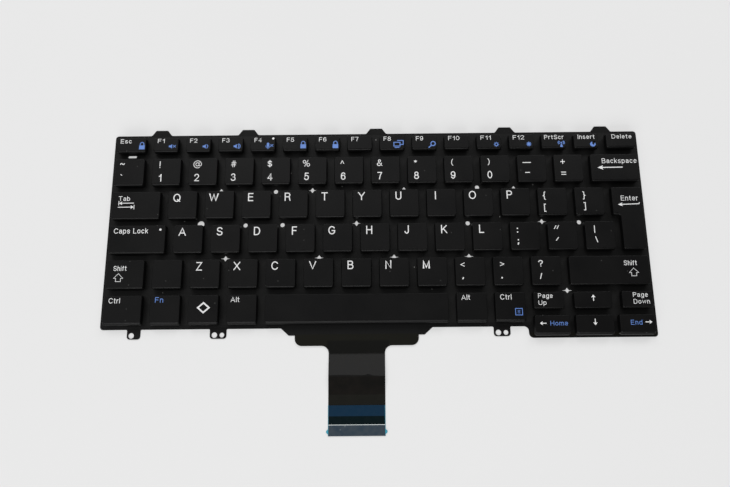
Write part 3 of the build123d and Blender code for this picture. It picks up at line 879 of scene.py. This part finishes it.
def lamp(x, y, radius):
    # The white dot of a small lamp
    return drawing(white, (), [disc(radius)], (x, y))


smallWord = {"top": 0.45, "height": 2.35, "weight": 0.28}   # labels of the function keys
plainWord = {"height": 2.65, "weight": 0.29}                # labels of the other named keys
shortWord = {"height": 2.3, "weight": 0.25}                 # labels of the keys of half depth
arrowWord = {"height": 2.5, "weight": 0.29}                 # labels that stand over an arrow
digitShape = {"middle": 4.4, "top": 8.5, "height": 4.05, "weight": 0.48}
boldLetters = {"w": 0.72, "m": 0.76, "n": 0.57}
keyArrow = {"head": 1.4, "weight": 0.42}
tabArrow = {"head": 1.6, "half": 1.0, "weight": 0.38, "bar": True}


def functionLegends():
    # Labels of the function row, left to right, with the blue signs at their lower right
    ends = {1: 5.6, 10: 7.95, 11: 7.45, 12: 7.95}
    usualEnd = 5.85
    labels = [("Esc", 1.75, 7.5)] + [(f"F{n}", 2.05, ends.get(n, usualEnd)) for n in range(1, 13)]
    labels += [("PrtScr", 1.55, 11.7), ("Insert", 2.2, 11.0), ("Delete", 3.0, 13.4)]
    signs = {
        0: padlock(13.1, 3.9), 1: speaker(9.5, 4.7, muted=True), 2: speaker(10.3, 4.9, waves=1),
        3: speaker(9.6, 5.0, waves=2), 4: microphone(9.2, 4.7), 5: padlock(10.7, 4.2), 6: padlock(10.65, 4.3),
        8: twoScreens(9.7, 4.6), 9: magnifier(10.4, 5.1), 11: sun(10.2, 5.4, False), 12: sun(10.3, 5.4, True),
        13: antenna(10.3, 5.5), 14: moon(9.8, 5.8),
    }
    legends = []
    for number, (text, x0, x1) in enumerate(labels):
        marks = [word(text, x0, x1, **smallWord)]
        if number in signs:
            marks.append(signs[number])
        legends.append(marks)
    legends[4].append(lamp(11.9, 0.85, 0.6))
    return legends


def numberLegends():
    # The number row: a sign above a digit or a second sign
    upper = [
        ("~", 2.4, 4.8, 2.2, 3.2), ("!", 3.75, 4.4, 1.45, 5.1), ("@", 2.4, 6.7, 1.2, 5.4, 0.31),
        ("#", 3.05, 5.75, 1.45, 5.0, 0.33), ("$", 3.1, 5.4, 1.35, 5.3), ("%", 2.4, 6.1, 1.5, 5.1, 0.32),
        ("^", 3.0, 4.9, 1.8, 3.8), ("&", 3.0, 5.8, 1.55, 5.2), ("*", 3.3, 4.75, 2.1, 3.55, 0.3),
        ("(", 3.65, 4.65, 1.65, 5.5, 0.34), (")", 3.65, 4.65, 1.55, 5.4, 0.34),
        ("_", 2.7, 7.1, 3.7, 4.3), ("+", 3.35, 5.75, 2.6, 5.0),
    ]
    lower = [symbol("`", 3.0, 3.9, 8.3, 9.1)]
    lower += [letter(digit, **digitShape) for digit in "1234567890"]
    lower += [symbol("-", 3.75, 6.25, 9.2, 9.75), symbol("=", 3.4, 5.9, 9.35, 11.0)]
    legends = [[symbol(*sign), second] for sign, second in zip(upper, lower)]
    backspace = word("Backspace", 5.95, 24.0, 2.25, **plainWord)
    return legends + [[backspace, arrow((3.4, 7.25), (16.2, 7.15), 2.9, 1.2, 0.5)]]


def frontLegends():
    # Legends of the keys that have their own nodes, by name
    legends = {name: [letter(name.upper())] for name in "qertyuiopasdfghjklzxcvb"}
    for name, weight in boldLetters.items():
        legends[name] = [letter(name.upper(), weight=weight)]
    legends["tab"] = [
        word("Tab", 3.1, 9.0, 2.3, **arrowWord),
        arrow((3.55, 6.05), (11.0, 6.0), **tabArrow),
        arrow((11.2, 8.15), (3.2, 8.15), **tabArrow),
    ]
    legends["left_bracket"] = [symbol("{", 2.55, 4.0, 1.95, 6.4), symbol("[", 2.8, 3.85, 8.5, 12.8)]
    legends["right_bracket"] = [symbol("}", 4.0, 5.45, 2.0, 6.5), symbol("]", 4.1, 5.2, 7.9, 12.2)]
    legends["enter"] = [
        word("Enter", 4.45, 13.15, 4.55, **plainWord),
        arrow((2.6, 9.3), (13.4, 9.0), 2.4, 1.0, 0.44),
        drawing(white, [([(13.4, 9.0), (13.65, 8.35)], 0.36)]),
    ]
    legends["caps_lock"] = [word("Caps Lock", 2.0, 19.5, 1.35, 2.75, 0.33), lamp(25.75, 2.2, 0.58)]
    legends["semicolon"] = [symbol(":", 3.35, 3.95, 3.05, 5.6, 0.6), symbol(";", 3.3, 4.1, 9.0, 11.9, 0.6)]
    legends["apostrophe"] = [symbol("\"", 3.2, 5.8, 1.9, 3.9), symbol("'", 3.8, 5.3, 8.1, 10.0)]
    legends["backslash"] = [symbol("|", 4.5, 5.1, 2.2, 6.1), symbol("\\", 4.7, 5.95, 7.9, 11.0)]
    legends["left_shift"] = [word("Shift", 3.4, 10.0, 2.85, **arrowWord), houseArrow(6.1, 8.8)]
    legends["right_shift"] = [word("Shift", 27.4, 33.9, 2.45, **arrowWord), houseArrow(32.0, 8.35)]
    legends["comma"] = [symbol("<", 2.5, 4.65, 2.75, 4.85), symbol(",", 3.2, 4.0, 10.15, 11.3, 0.6)]
    legends["period"] = [symbol(">", 3.35, 5.55, 2.65, 4.75), symbol(".", 3.7, 4.4, 10.35, 11.05, 0.68)]
    legends["slash"] = [symbol("?", 3.6, 5.85, 1.9, 5.15), symbol("/", 3.9, 5.05, 8.5, 11.5)]
    legends["left_ctrl"] = [word("Ctrl", 2.3, 7.9, 1.05, **plainWord)]
    legends["fn"] = [word("Fn", 2.45, 6.5, 0.85, **plainWord, ink=blue)]
    legends["super"] = [hollowDiamond(7.6, 6.25)]
    legends["left_alt"] = [word("Alt", 2.0, 6.3, 0.95, **plainWord)]
    legends["right_alt"] = [word("Alt", 2.3, 6.6, 0.95, **plainWord)]
    legends["right_ctrl"] = [word("Ctrl", 2.5, 8.1, 0.95, **plainWord), menuBox(11.4, 9.7)]
    legends["page_up"] = [word("Page", 2.3, 9.5, 0.7, **shortWord), word("Up", 2.3, 6.2, 4.15, **shortWord)]
    legends["page_down"] = [
        word("Page", 5.4, 12.7, 0.6, **shortWord),
        word("Down", 5.4, 13.4, 3.95, **shortWord),
    ]
    legends["up"] = [arrow((9.4, 1.55), (9.4, 4.45), half=1.1, **keyArrow)]
    legends["down"] = [arrow((9.3, 5.05), (9.3, 2.1), half=1.1, **keyArrow)]
    legends["left"] = [
        arrow((2.25, 3.9), (5.3, 3.9), half=1.0, **keyArrow),
        word("Home", 7.4, 16.0, 2.75, **shortWord, ink=blue),
    ]
    legends["right"] = [
        arrow((15.75, 3.7), (12.6, 3.7), half=1.0, **keyArrow),
        word("End", 5.2, 10.8, 2.65, 2.35, shortWord["weight"], blue),
    ]
    return legends


def inkSolids(marks, box):
    # The marks of one cap as thin raised strips and patches on its top, each stroke a little above the last
    left, _, _, back, _, top = box
    corner = np.array([left + capShape["draft"], back - capShape["draft"]])
    low, high = top - inkShape["sink"], top + inkShape["thickness"]
    solids = []
    for mark in marks:
        for leftSide, rightSide, closed in mark["strips"]:
            sides = [corner + side * (1, -1) for side in (rightSide, leftSide)]
            ring = [np.column_stack([side, np.full(len(side), z)]) for side, z in
                    ((sides[0], high), (sides[1], high), (sides[1], low), (sides[0], low))]
            points, faces = ringStack(np.stack(ring, 1), closed)
            solids.append((points, faces, mark["ink"]))
            high += inkShape["step"]
        for outline in mark["fills"]:
            points, faces = prism(corner + outline * (1, -1), low, high)
            solids.append((points, faces, mark["ink"]))
            high += inkShape["step"]
    return solids


capMaterials = [capPlastic, whiteInk, blueInk]
backBoxes = capBoxesOf("back_row_keys")
backSolids = []
for box, marks in zip(backBoxes, functionLegends() + numberLegends()):
    backSolids.append((*boxCap(box, "back"), 0))
    backSolids += inkSolids(marks, box)
backCaps = makePiece("caps_back_rows", backSolids, capMaterials)
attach(backCaps, "chassis")
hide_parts("back_row_keys")

frontLegendsByName = frontLegends()
keyNames = [node[len("key_"):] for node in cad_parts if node.startswith("key_")]
keyBoxes = {name: boxOf("key_" + name) for name in keyNames}
for name in keyNames:
    box = keyBoxes[name]
    homing = name in homingKeys
    if homing:
        box = (*box[:5], box[5] - homingBar["height"])
        keyBoxes[name] = box
    solids = [(*(enterCap(box) if name == "enter" else boxCap(box, name)), 0)]
    if homing:
        solids.append((*homingSolid(box), 0))
    solids += inkSolids(frontLegendsByName.get(name, []), box)
    cap = makePiece("cap_" + name, solids, capMaterials)
    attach(cap, "key_" + name)
    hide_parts("key_" + name)
print("caps:", len(backBoxes) + len(keyNames))


# Domes, scissor hinges and stabiliser bars under the caps

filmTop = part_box("rubber_domes")[0].z / mm
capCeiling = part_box("rubber_domes")[1].z / mm
hingeShape = {
    "standard": {"length": 10.4, "half": 5.1, "arm": 0.8, "thick": 0.7, "play": 0.3, "dome": (2.6, 1.5)},
    "small": {"length": 9.4, "half": 2.8, "arm": 0.5, "thick": 0.5, "play": 0.2, "dome": (1.5, 1.0)},
    "endPlay": 0.05,
    "pin": 0.3,
}
domeShape = {
    "sides": 14,
    "profile": (  # shares of the foot, of the tip and of the height: flange, skirt, shoulder, plunger
        (1, 0, 0), (1, 0, 0.12), (0.86, 0, 0.16), (0, 1.12, 0.62), (0, 1, 0.72), (0, 1, 0.97), (0, 0.9, 1),
    ),
}
barShape = {"radius": 0.4, "arm": 7.5, "play": 0.2, "endPlay": 0.05, "bend": 1.2, "bendSteps": 5}
smallDepth = 11   # millimetres; caps of less depth have the small hinge


def domeSolid(foot, tip):
    # A rubber dome turned from its profile, with a foot and a tip of these radii
    height = capCeiling - filmTop
    profile = [(a * foot + b * tip, c * height) for a, b, c in domeShape["profile"]]
    return revolved(profile, domeShape["sides"])


def hingeSolids(kind, turn):
    # Two crossed frames, each a flat U that spans the space between film and cap, with pins at the crossing
    shape = hingeShape[kind]
    length, thick, arm = shape["length"], shape["thick"], shape["arm"]
    space = capCeiling - filmTop - 2 * hingeShape["endPlay"]
    tilt = math.asin(space / math.hypot(length, thick)) - math.atan2(thick, length)
    outer = shape["half"]
    inner = outer - arm - shape["play"]
    middle = (0, 0, (capCeiling + filmTop) / 2)
    solids = []
    for half, flip in ((outer, 0.0), (inner, math.pi)):
        end, mouth = -length / 2, length / 2
        corners = [
            (-half, end, arm / 2), (half, end, arm / 2), (half, mouth, 0), (half - arm, mouth, 0),
            (half - arm, end + arm, arm / 3), (arm - half, end + arm, arm / 3), (arm - half, mouth, 0),
            (-half, mouth, 0),
        ]
        frameSolid = prism(filletOutline(corners, 2), -thick / 2, thick / 2)
        solids.append(placed(placed(frameSolid, tilt=tilt), middle, turn + flip))
    reach = (inner - arm / 2, inner, outer - arm, outer - arm / 2)
    for side in (1, -1):
        pinPath = [(side * x, 0, 0) for x in reach]
        solids.append(placed(tube(pinPath, hingeShape["pin"]), middle, turn))
    return solids


def barSolid(run, wallDistance):
    # A bent steel wire: its long run lies under the roof along one wall, and its arms slope down to the film
    radius, arm = barShape["radius"], barShape["arm"]
    inset = capShape["wall"] + barShape["play"] + radius
    half, near = run / 2 - inset, inset - wallDistance
    high, low = capCeiling - radius - barShape["endPlay"], filmTop + radius + barShape["endPlay"]
    far = near + math.sqrt(arm ** 2 - (high - low) ** 2)
    corners = [(-half, far, low), (-half, near, high), (half, near, high), (half, far, low)]
    path = kneeLine(corners, barShape["bend"], barShape["bendSteps"])
    return tube(np.concatenate([path, corners[-1:]]), radius)


def mechanism(box, small, wide, enter=False):
    # The parts under one cap: 0 is the dome's rubber, 1 the hinge's nylon and 2 the bar's steel
    left, right, front, back, _, _ = box
    kind = "small" if small or enter else "standard"
    middle = ((left + right) / 2, (front + back) / 2, 0)
    turn = math.pi / 2 if small else 0.0
    solids = [(*placed(domeSolid(*hingeShape[kind]["dome"]), (0, 0, filmTop)), 0)]
    solids += [(*solid, 1) for solid in hingeSolids(kind, turn)]
    draft = 2 * capShape["draft"]
    if enter:
        bar = barSolid(back - front - draft, (right - left - draft) / 2)
        solids.append((*placed(bar, turn=math.pi / 2), 2))
    elif wide:
        solids.append((*barSolid(right - left - draft, (back - front - draft) / 2), 2))
    return [(points + middle, faces, slot) for points, faces, slot in solids]


def isSmall(box):
    # Whether a cap's depth, from front to back, is under the limit
    return box[3] - box[2] < smallDepth


wideKeys = ("tab", "caps_lock", "right_shift", "space")
partMaterials = [domeRubber, hingeNylon, wireSteel]
backParts = []
for number, box in enumerate(backBoxes):
    backParts += mechanism(box, isSmall(box), number == len(backBoxes) - 1)
backMechanism = makePiece("mechanism_back_rows", backParts, partMaterials)
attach(backMechanism, "chassis")
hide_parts("rubber_domes", "scissor_hinges", "stabiliser_bars")
for name in keyNames:
    box = keyBoxes[name]
    if name == "enter":
        box = (enterStep(), *box[1:])
    parts = mechanism(box, isSmall(box), name in wideKeys, name == "enter")
    piece = makePiece("mechanism_" + name, parts, partMaterials)
    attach(piece, "chassis")
    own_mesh(piece)
    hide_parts("rubber_domes", "scissor_hinges")
print("mechanisms:", len(keyNames) + 1)


# Through holes of the plate and the film

ventShape = {
    "starLength": 2.9, "starHeight": 1.5, "starNeck": (0.95, 0.26), "starRadii": (0.1, 0.3, 0.05, 0.3),
    "round": 1.15, "wide": 1.8, "bar": (4.7, 1.35), "barRounding": 0.49,
    "starSetback": 0.5, "roundSetback": 1.05, "wideSetback": 0.3, "barShift": 0.85,
    "spread": 1.007, "shift": 0.15,   # the holes stand a little further apart than the keys
}
# Keys, or pairs of keys with a hole over the gap between them, by the key that gives the row's back edge
starPlaces = {"q": "w u p r-t", "a": "g-h semicolon-apostrophe", "z": "v n comma z-x", "fn": "page_up-up"}
highRoundPlaces = {"q": "o"}
roundPlaces = {"q": "e-r", "a": "s-d d-f k-l apostrophe-backslash"}
functionKeys = 16


def starOutline():
    # Four points, long and thin to the sides and short and broad to the front and back, with necks between
    neckX, neckY = ventShape["starNeck"]
    spots = [(0, -ventShape["starHeight"]), (neckX, -neckY), (ventShape["starLength"], 0), (neckX, neckY)]
    right = [(x, y, radius) for (x, y), radius in zip(spots, ventShape["starRadii"])]
    left = [(-x, -y, radius) for x, y, radius in right]
    return filletOutline(right + left, 3)


def ventOutlines():
    # Outlines of the holes: stars, round ones, a wide one beside A, and a bar behind the first number key
    halfGap = (keyBoxes["q"][2] - keyBoxes["a"][3]) / 2

    def placesOver(rows, rise):
        # The middle of each key, or of the gap between two, and half a gap plus the rise behind its row
        places = []
        for rowKey, spots in rows.items():
            for spot in spots.split():
                names = spot.split("-")
                x = (keyBoxes[names[0]][1] + keyBoxes[names[-1]][0]) / 2
                places.append((x, keyBoxes[rowKey][3] + halfGap + rise))
        return places

    rounds = placesOver(highRoundPlaces, ventShape["wideSetback"])
    rounds += placesOver(roundPlaces, -ventShape["roundSetback"])
    wideX = keyBoxes["a"][1] - capShape["draft"] - ventShape["wide"]
    wideY = keyBoxes["a"][3] + halfGap - ventShape["wideSetback"]
    first, firstNumber = backBoxes[0], backBoxes[functionKeys]
    barX = (firstNumber[0] + firstNumber[1]) / 2
    barY = (first[2] + firstNumber[3]) / 2 + ventShape["barShift"]
    length, height = ventShape["bar"]
    ends = [(x, y, height * ventShape["barRounding"]) for x, y in rectangle(length / 2, height / 2)]
    kinds = [
        (starOutline(), placesOver(starPlaces, -ventShape["starSetback"])),
        (disc(ventShape["round"], steps=20), rounds),
        (disc(ventShape["wide"], steps=24), [(wideX, wideY)]),
        (filletOutline(ends, 5), [(barX, barY)]),
    ]
    spread, shift = ventShape["spread"], ventShape["shift"]
    return [outline + (x * spread + shift, y) for outline, places in kinds for x, y in places]


vents = ventOutlines()


# Base plate

plateShape = {
    "corner": 1.6, "step": 2.4, "edge": 0.06,
    "rearTongues": (-114.5, -68.1, 0.3, 69.1, 120.3), "rearWidth": 10.7, "rearSlant": 2.25, "rearLength": 3.0,
    "rearFoot": 1.2, "rearTip": 0.7,
    "frontTongue": -10.7, "frontWidth": 75.8, "frontSlant": 4.0, "frontLength": 3.6, "frontCorner": 0.8,
    "tabs": ((-122.05, 6.7), (-79.85, 8.3), (61.75, 8.3)), "tabLength": 4.8, "tabCorner": 1.5, "tabFoot": 0.6,
    "tabReach": 2.95, "screwRadius": 1.4, "locateRadius": 1.2, "holeSpacing": 3.74, "narrowOffset": -1.2,
}
flatAngle = 12   # degrees; under the steps of a sheet's rounded edge, so that its flat faces stay flat
plateLeft, plateRight, arrowFront, tongueBack, plateLow, plateHigh = boxOf("base_plate")
plateBack = tongueBack - plateShape["rearLength"]
plateFront = -plateBack
topGap = keyBoxes["w"][0] - keyBoxes["q"][1] + 2 * capShape["draft"]
stepX = keyBoxes["page_up"][0] + capShape["draft"] - topGap / 2


def tongue(place, width, slant, foot, tip, radii):
    # A tab from its foot to its tip, left to right, narrower at the tip by the slant on each side
    left, right = place - width / 2, place + width / 2
    footRadius, tipRadius = radii
    return [(left, foot, footRadius), (left + slant, tip, tipRadius),
            (right - slant, tip, tipRadius), (right, foot, footRadius)]


def plateOutline():
    # Counter-clockwise from the front left corner: tabs and tongue, the arrow step, and the rear tongues
    shape = plateShape
    tabTip, frontTip = plateFront - shape["tabLength"], plateFront - shape["frontLength"]
    tabRadii = (shape["tabFoot"], shape["tabCorner"])
    frontRadii = (shape["frontCorner"], shape["frontCorner"])
    front = [tongue(place, width, 0, plateFront, tabTip, tabRadii) for place, width in shape["tabs"]]
    middle, width, slant = shape["frontTongue"], shape["frontWidth"], shape["frontSlant"]
    front.append(tongue(middle, width, slant, plateFront, frontTip, frontRadii))
    corners = [(plateLeft, plateFront, shape["corner"])]
    for piece in sorted(front):
        corners += piece
    corners += [(stepX, plateFront, shape["step"]), (stepX, arrowFront, shape["step"])]
    corners += [(plateRight, arrowFront, shape["corner"]), (plateRight, plateBack, shape["corner"])]
    rearRadii = (shape["rearFoot"], shape["rearTip"])
    for place in sorted(shape["rearTongues"], reverse=True):
        rear = tongue(place, shape["rearWidth"], shape["rearSlant"], plateBack, tongueBack, rearRadii)
        corners += reversed(rear)
    corners.append((plateLeft, plateBack, shape["corner"]))
    return filletOutline(corners, 5)


def plateHoles():
    # Screw and locating holes of the front tabs
    shape = plateShape
    y = plateFront - shape["tabReach"]
    narrow, *wide = shape["tabs"]
    places = [(narrow[0] + shape["narrowOffset"], shape["screwRadius"])]
    for place, _ in wide:
        places.append((place - shape["holeSpacing"] / 2, shape["screwRadius"]))
        places.append((place + shape["holeSpacing"] / 2, shape["locateRadius"]))
    return [oval(x, y, radius, radius, 28)[:-1] for x, radius in places]


plateSolid = flatSheet([plateOutline()] + plateHoles() + vents, plateLow, plateHigh, plateShape["edge"])
plate = makePiece("stamped_plate", [(*plateSolid, 0)], [platePaint], flatAngle)
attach(plate, "chassis")
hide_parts("base_plate")
print("plate:", len(plate.data.polygons), "faces")


# Film with its tail, and the stiffener

filmShape = {
    "tongue": 61.7, "tongueReach": 5.2, "tongueCorner": 3.5, "edge": 0.04, "corner": 0.8,
    "tailWidth": 27.85, "tailFillet": 3.6, "tailStub": 3.6, "flatRun": 0.6, "lift": 1.8, "topReach": 15.2,
    "landing": 5.0, "bends": (0.5, 1.0, 4.5), "bendSteps": 8, "columns": 33, "lean": -0.25,
    "wave": (0.4, 1.6, 2.4), "bump": (0.8, 0.41, 0.1),   # height, pace and phase; height, place and width
    "waveReach": 2.5,
    "stiffener": 14.4, "earReach": 0.9, "earLength": 2.4, "earTip": 0.8, "earInset": 0.85,
    "stiffenerRadii": (0.3, 0.2, 0.3, 0.1),              # its end, an ear's foot, an ear's tip, its back
}
filmLeft, filmRight, tailEnd, filmBack, _, _ = boxOf("membrane_sheet")
filmLow = plateHigh
filmMargin = filmLeft - plateLeft
filmThick = filmTop - filmLow
tailRoot = plateFront - plateShape["frontLength"] - filmShape["tongueReach"]


def filmOutline():
    # The film, a margin inside the plate, with its tongue and the first stretch of the tail
    front, arrowLine = plateFront + filmMargin, arrowFront + filmMargin
    step, stub = stepX + filmMargin, tailRoot - filmShape["tailStub"]
    middle, half, tail = plateShape["frontTongue"], filmShape["tongue"] / 2, filmShape["tailWidth"] / 2
    corner, fillet, small = filmShape["tongueCorner"], filmShape["tailFillet"], filmShape["corner"]
    corners = [
        (filmLeft, front, small), (middle - half, front, small), (middle - half, tailRoot, corner),
        (middle - tail, tailRoot, fillet), (middle - tail, stub, 0), (middle + tail, stub, 0),
        (middle + tail, tailRoot, fillet), (middle + half, tailRoot, corner), (middle + half, front, small),
        (step, front, small), (step, arrowLine, small), (filmRight, arrowLine, small),
        (filmRight, filmBack, small), (filmLeft, filmBack, small),
    ]
    return filletOutline(corners)


def tailSolid():
    # The tail's side view, bent up from the tongue and down to the table, carried across its width; it leans
    # a little to one side, and near the top bend points are shifted along Y by a wave with one bump
    shape = filmShape
    start, top = tailRoot - shape["tailStub"], tailRoot - shape["topReach"]
    landing = tailEnd + shape["stiffener"] + shape["landing"]
    knees = [(start, filmLow), (start - shape["flatRun"], filmLow), (top, shape["lift"])]
    knees += [(landing, 0), (tailEnd, 0)]
    line = np.concatenate([kneeLine(knees, shape["bends"], shape["bendSteps"]), knees[-1:]])[::-1]
    along, height = line[:, :1], line[:, 1:]
    across = np.linspace(-1, 1, shape["columns"])
    waveHeight, pace, phase = shape["wave"]
    bumpHeight, bumpPlace, bumpWidth = shape["bump"]
    wave = waveHeight * np.sin(pace * across + phase)
    wave += bumpHeight * np.exp(-((across - bumpPlace) / bumpWidth) ** 2)
    y = along + wave * np.exp(-((along - top) / shape["waveReach"]) ** 2)
    lean = shape["lean"] * (start - along) / (start - tailEnd)
    x = plateShape["frontTongue"] + lean + shape["tailWidth"] / 2 * across
    low = np.stack([x, y, np.broadcast_to(height, x.shape)], -1)
    return ringStack(np.concatenate([low + (0, 0, filmThick), low[:, ::-1]], 1))


def stiffenerOutline():
    # The stiff end of the tail with a rounded ear on each side
    shape = filmShape
    half = shape["tailWidth"] / 2
    earX = half + shape["earReach"]
    earFront = tailEnd + shape["earInset"]
    earBack = earFront + shape["earLength"]
    side = (shape["earLength"] - shape["earTip"]) / 2
    endRadius, footRadius, tipRadius, backRadius = shape["stiffenerRadii"]
    right = [
        (half, tailEnd, endRadius), (half, earFront, footRadius), (earX, earFront + side, tipRadius),
        (earX, earBack - side, tipRadius), (half, earBack, footRadius),
        (half, tailEnd + shape["stiffener"], backRadius),
    ]
    left = [(-x, y, radius) for x, y, radius in reversed(right)]
    return filletOutline(right + left, 4) + (plateShape["frontTongue"] + shape["lean"], 0)


filmPrint = finish(
    "filmPrint", grey(0.0082), (0.0112, 0.0111, 0.0109), (0.30, 0.40), 2200, (0.03, 0.00003),
    dust=(110, 0.08, 0.035, (0.16, 0.16, 0.155)), specular=0.06,
)
filmSpan = (-106.0, 60.0)   # the stretch along Y in which the bands lie
tongueBands = [  # place along Y, colour from there backwards, share over the film's own black
    (-65.0, (0.0070, 0.0068, 0.0052), 1.0),
    (-55.3, grey(0.0068), 1.0),
    (-50.0, grey(0.02), 0.0),
]
bandedAlongY(filmPrint, tongueBands, *filmSpan)
rootPatch = {
    "x": -10.0, "halfX": 16.0, "y": -62.0, "halfY": 4.6, "soft": 1.0, "colour": (0.0045, 0.0045, 0.0040),
}
patched(filmPrint, rootPatch)
tailGloss = finish(
    "tailGloss", (0.0025, 0.0025, 0.0020), (0.0062, 0.0048, 0.0038), (0.09, 0.19), 900, (0.02, 0.00003),
    dust=(110, 0.05, 0.05, (0.12, 0.12, 0.115)), cloud=160, specular=0.22,
)
tailSpan = (-106.0, -60.0)
# From the stiffener back: an olive band on the landing, close to the film's own black down the front slope,
# and a lighter neutral band up the rising bend, which is painted sheen on top of the ceiling panel's real
# reflection there
tailPrintAndSheenBands = [
    (-105.0, (0.0070, 0.0070, 0.0055), 0.8),
    (-84.2, (0.0042, 0.0038, 0.0034), 0.2),
    (-75.6, (0.0060, 0.0060, 0.0058), 0.7),
]
bandedAlongY(tailGloss, tailPrintAndSheenBands, *tailSpan)
stiffenerBlue = finish(
    "stiffenerBlue", (0.022, 0.035, 0.049), (0.035, 0.046, 0.057), (0.34, 0.44), 2600, (0.03, 0.00002),
    dust=(420, 0.06, 0.10, (0.10, 0.12, 0.13)), cloud=420, specular=0.08,
)
stiffenerSpan = (-104.0, -88.0)
stiffenerBands = [
    (-103.6, (0.03, 0.046, 0.064), 0.0),
    (-98.43, (0.55, 0.58, 0.58), 1.0),
    (-98.17, (0.0006, 0.0044, 0.0054), 1.0),
    (-94.2, (0.0024, 0.0165, 0.0370), 0.95),
]
bandedAlongY(stiffenerBlue, stiffenerBands, *stiffenerSpan)
cyanEdge = 0.05
cyanSides = {
    "x": plateShape["frontTongue"] + filmShape["lean"], "halfX": filmShape["tailWidth"] / 2 - cyanEdge,
    "y": -96.0, "halfY": 12.0, "soft": 0.25, "colour": (0.045, 0.24, 0.32),
}
patched(stiffenerBlue, cyanSides, inside=False)

filmSolid = flatSheet([filmOutline()] + vents, filmLow, filmTop, filmShape["edge"])
film = makePiece("printed_film", [(*filmSolid, 0), (*tailSolid(), 1)], [filmPrint, tailGloss], flatAngle)
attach(film, "chassis")
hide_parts("membrane_sheet")
stiffLow, stiffHigh = boxOf("tail_stiffener")[4:]
stiffenerSolid = flatSheet([stiffenerOutline()], stiffLow, stiffHigh, filmShape["edge"])
stiffener = makePiece("tail_stiffener_tab", [(*stiffenerSolid, 0)], [stiffenerBlue], flatAngle)
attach(stiffener, "chassis")
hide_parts("tail_stiffener")
print("film and tail done")


# Floor, light and camera

floorShape = {"size": 8.0, "drop": 0.00002, "glow": 0.7, "glowShare": 0.7}   # metres
worldShape = {"colour": (1.0, 1.0, 1.0, 1), "strength": 0.25}
lightBoxes = {  # place and size in metres, power in watts; all face the origin
    "backLeftBox": ((-0.6, 1.35, 1.4), (1.0, 0.8), 15.1),
    "backRightBox": ((0.8, 1.35, 1.3), (0.9, 0.8), 16.6),
    "backHighBox": ((-0.3, 1.0, 1.7), (0.8, 0.6), 3.6),
    "leftHighBox": ((-1.0, -0.2, 1.7), (0.8, 0.8), 4.9),
    "frontPanel": ((-0.25, -1.3, 0.75), (1.5, 0.6), 21.0),
    "ceilingPanel": ((0.0, 0.27, 1.2), (0.5, 0.3), 0.42),
}
cameraShape = {
    "focalPixels": 625.0, "imageWidth": 730, "sensor": 36.0, "clip": (0.01, 10),
    "azimuth": -0.696, "elevation": 77.098, "roll": -1.233,   # degrees
    "distance": 0.321527, "target": (-0.006175, -0.00855, 0.0005),
}


def makeFloor(shape):
    # Pale paper; to the eye and in reflections a share of it shows its plain colour, the rest keeps shadows
    material = finish("floorPaper", grey(0.79), grey(0.81), (0.85, 0.95), 900, (0.02, 0.00005), cloud=6.0)
    tree = material.node_tree
    path = tree.nodes.new("ShaderNodeLightPath").outputs
    seen = mathNode(tree, "MAXIMUM", path["Is Camera Ray"], path["Is Glossy Ray"])
    seen = mathNode(tree, "MAXIMUM", seen, path["Is Transmission Ray"])
    share = mathNode(tree, "MULTIPLY", seen, shape["glowShare"])
    paper = tree.nodes["Principled BSDF"].outputs["BSDF"]
    glow = addNode(tree, "Emission", {"Strength": shape["glow"]}).outputs["Emission"]
    mixed = addNode(tree, "MixShader", {"Fac": share, 1: paper, 2: glow})
    feed(tree, tree.nodes["Material Output"].inputs["Surface"], mixed.outputs["Shader"])
    corners = rectangle(shape["size"] / 2, shape["size"] / 2)
    mesh = bpy.data.meshes.new("floor")
    mesh.from_pydata([(x, y, -shape["drop"]) for x, y in corners], [], [(0, 1, 2, 3)])
    mesh.materials.append(material)
    floor = bpy.data.objects.new("floor", mesh)
    bpy.context.scene.collection.objects.link(floor)


def makeWorld(shape):
    # An even white glow from all sides
    world = bpy.data.worlds.new("studio")
    world.use_nodes = True
    background = world.node_tree.nodes["Background"]
    background.inputs["Color"].default_value = shape["colour"]
    background.inputs["Strength"].default_value = shape["strength"]
    bpy.context.scene.world = world


def softLight(name, place, size, power):
    # A rectangle of light that faces the origin
    data = bpy.data.lights.new(name, "AREA")
    data.shape = "RECTANGLE"
    data.size, data.size_y = size
    data.energy = power
    light = bpy.data.objects.new(name, data)
    bpy.context.scene.collection.objects.link(light)
    light.location = place
    light.rotation_mode = "QUATERNION"
    light.rotation_quaternion = (-Vector(place)).to_track_quat("-Z", "Y")


def makeCamera(shape):
    # The camera looks along forward at the target; its right and up directions are rolled about that line
    azimuth, elevation, roll = (math.radians(shape[n]) for n in ("azimuth", "elevation", "roll"))
    ahead = Vector((math.sin(azimuth), math.cos(azimuth), 0))
    forward = ahead * math.cos(elevation) - Vector((0, 0, math.sin(elevation)))
    level = Vector((math.cos(azimuth), -math.sin(azimuth), 0))
    upward = level.cross(forward)
    right = level * math.cos(roll) + upward * math.sin(roll)
    up = upward * math.cos(roll) - level * math.sin(roll)
    data = bpy.data.cameras.new("camera")
    data.sensor_width = shape["sensor"]
    data.lens = shape["focalPixels"] / shape["imageWidth"] * shape["sensor"]
    data.clip_start, data.clip_end = shape["clip"]
    camera = bpy.data.objects.new("camera", data)
    bpy.context.scene.collection.objects.link(camera)
    place = Vector(shape["target"]) - forward * shape["distance"]
    turn = Matrix((right, up, -forward)).transposed().to_4x4()
    camera.matrix_world = Matrix.Translation(place) @ turn
    return camera


makeFloor(floorShape)
makeWorld(worldShape)
for name, light in lightBoxes.items():
    softLight(name, *light)
bpy.context.scene.camera = makeCamera(cameraShape)
bpy.context.scene.view_settings.view_transform = "Standard"

bpy.context.view_layer.update()
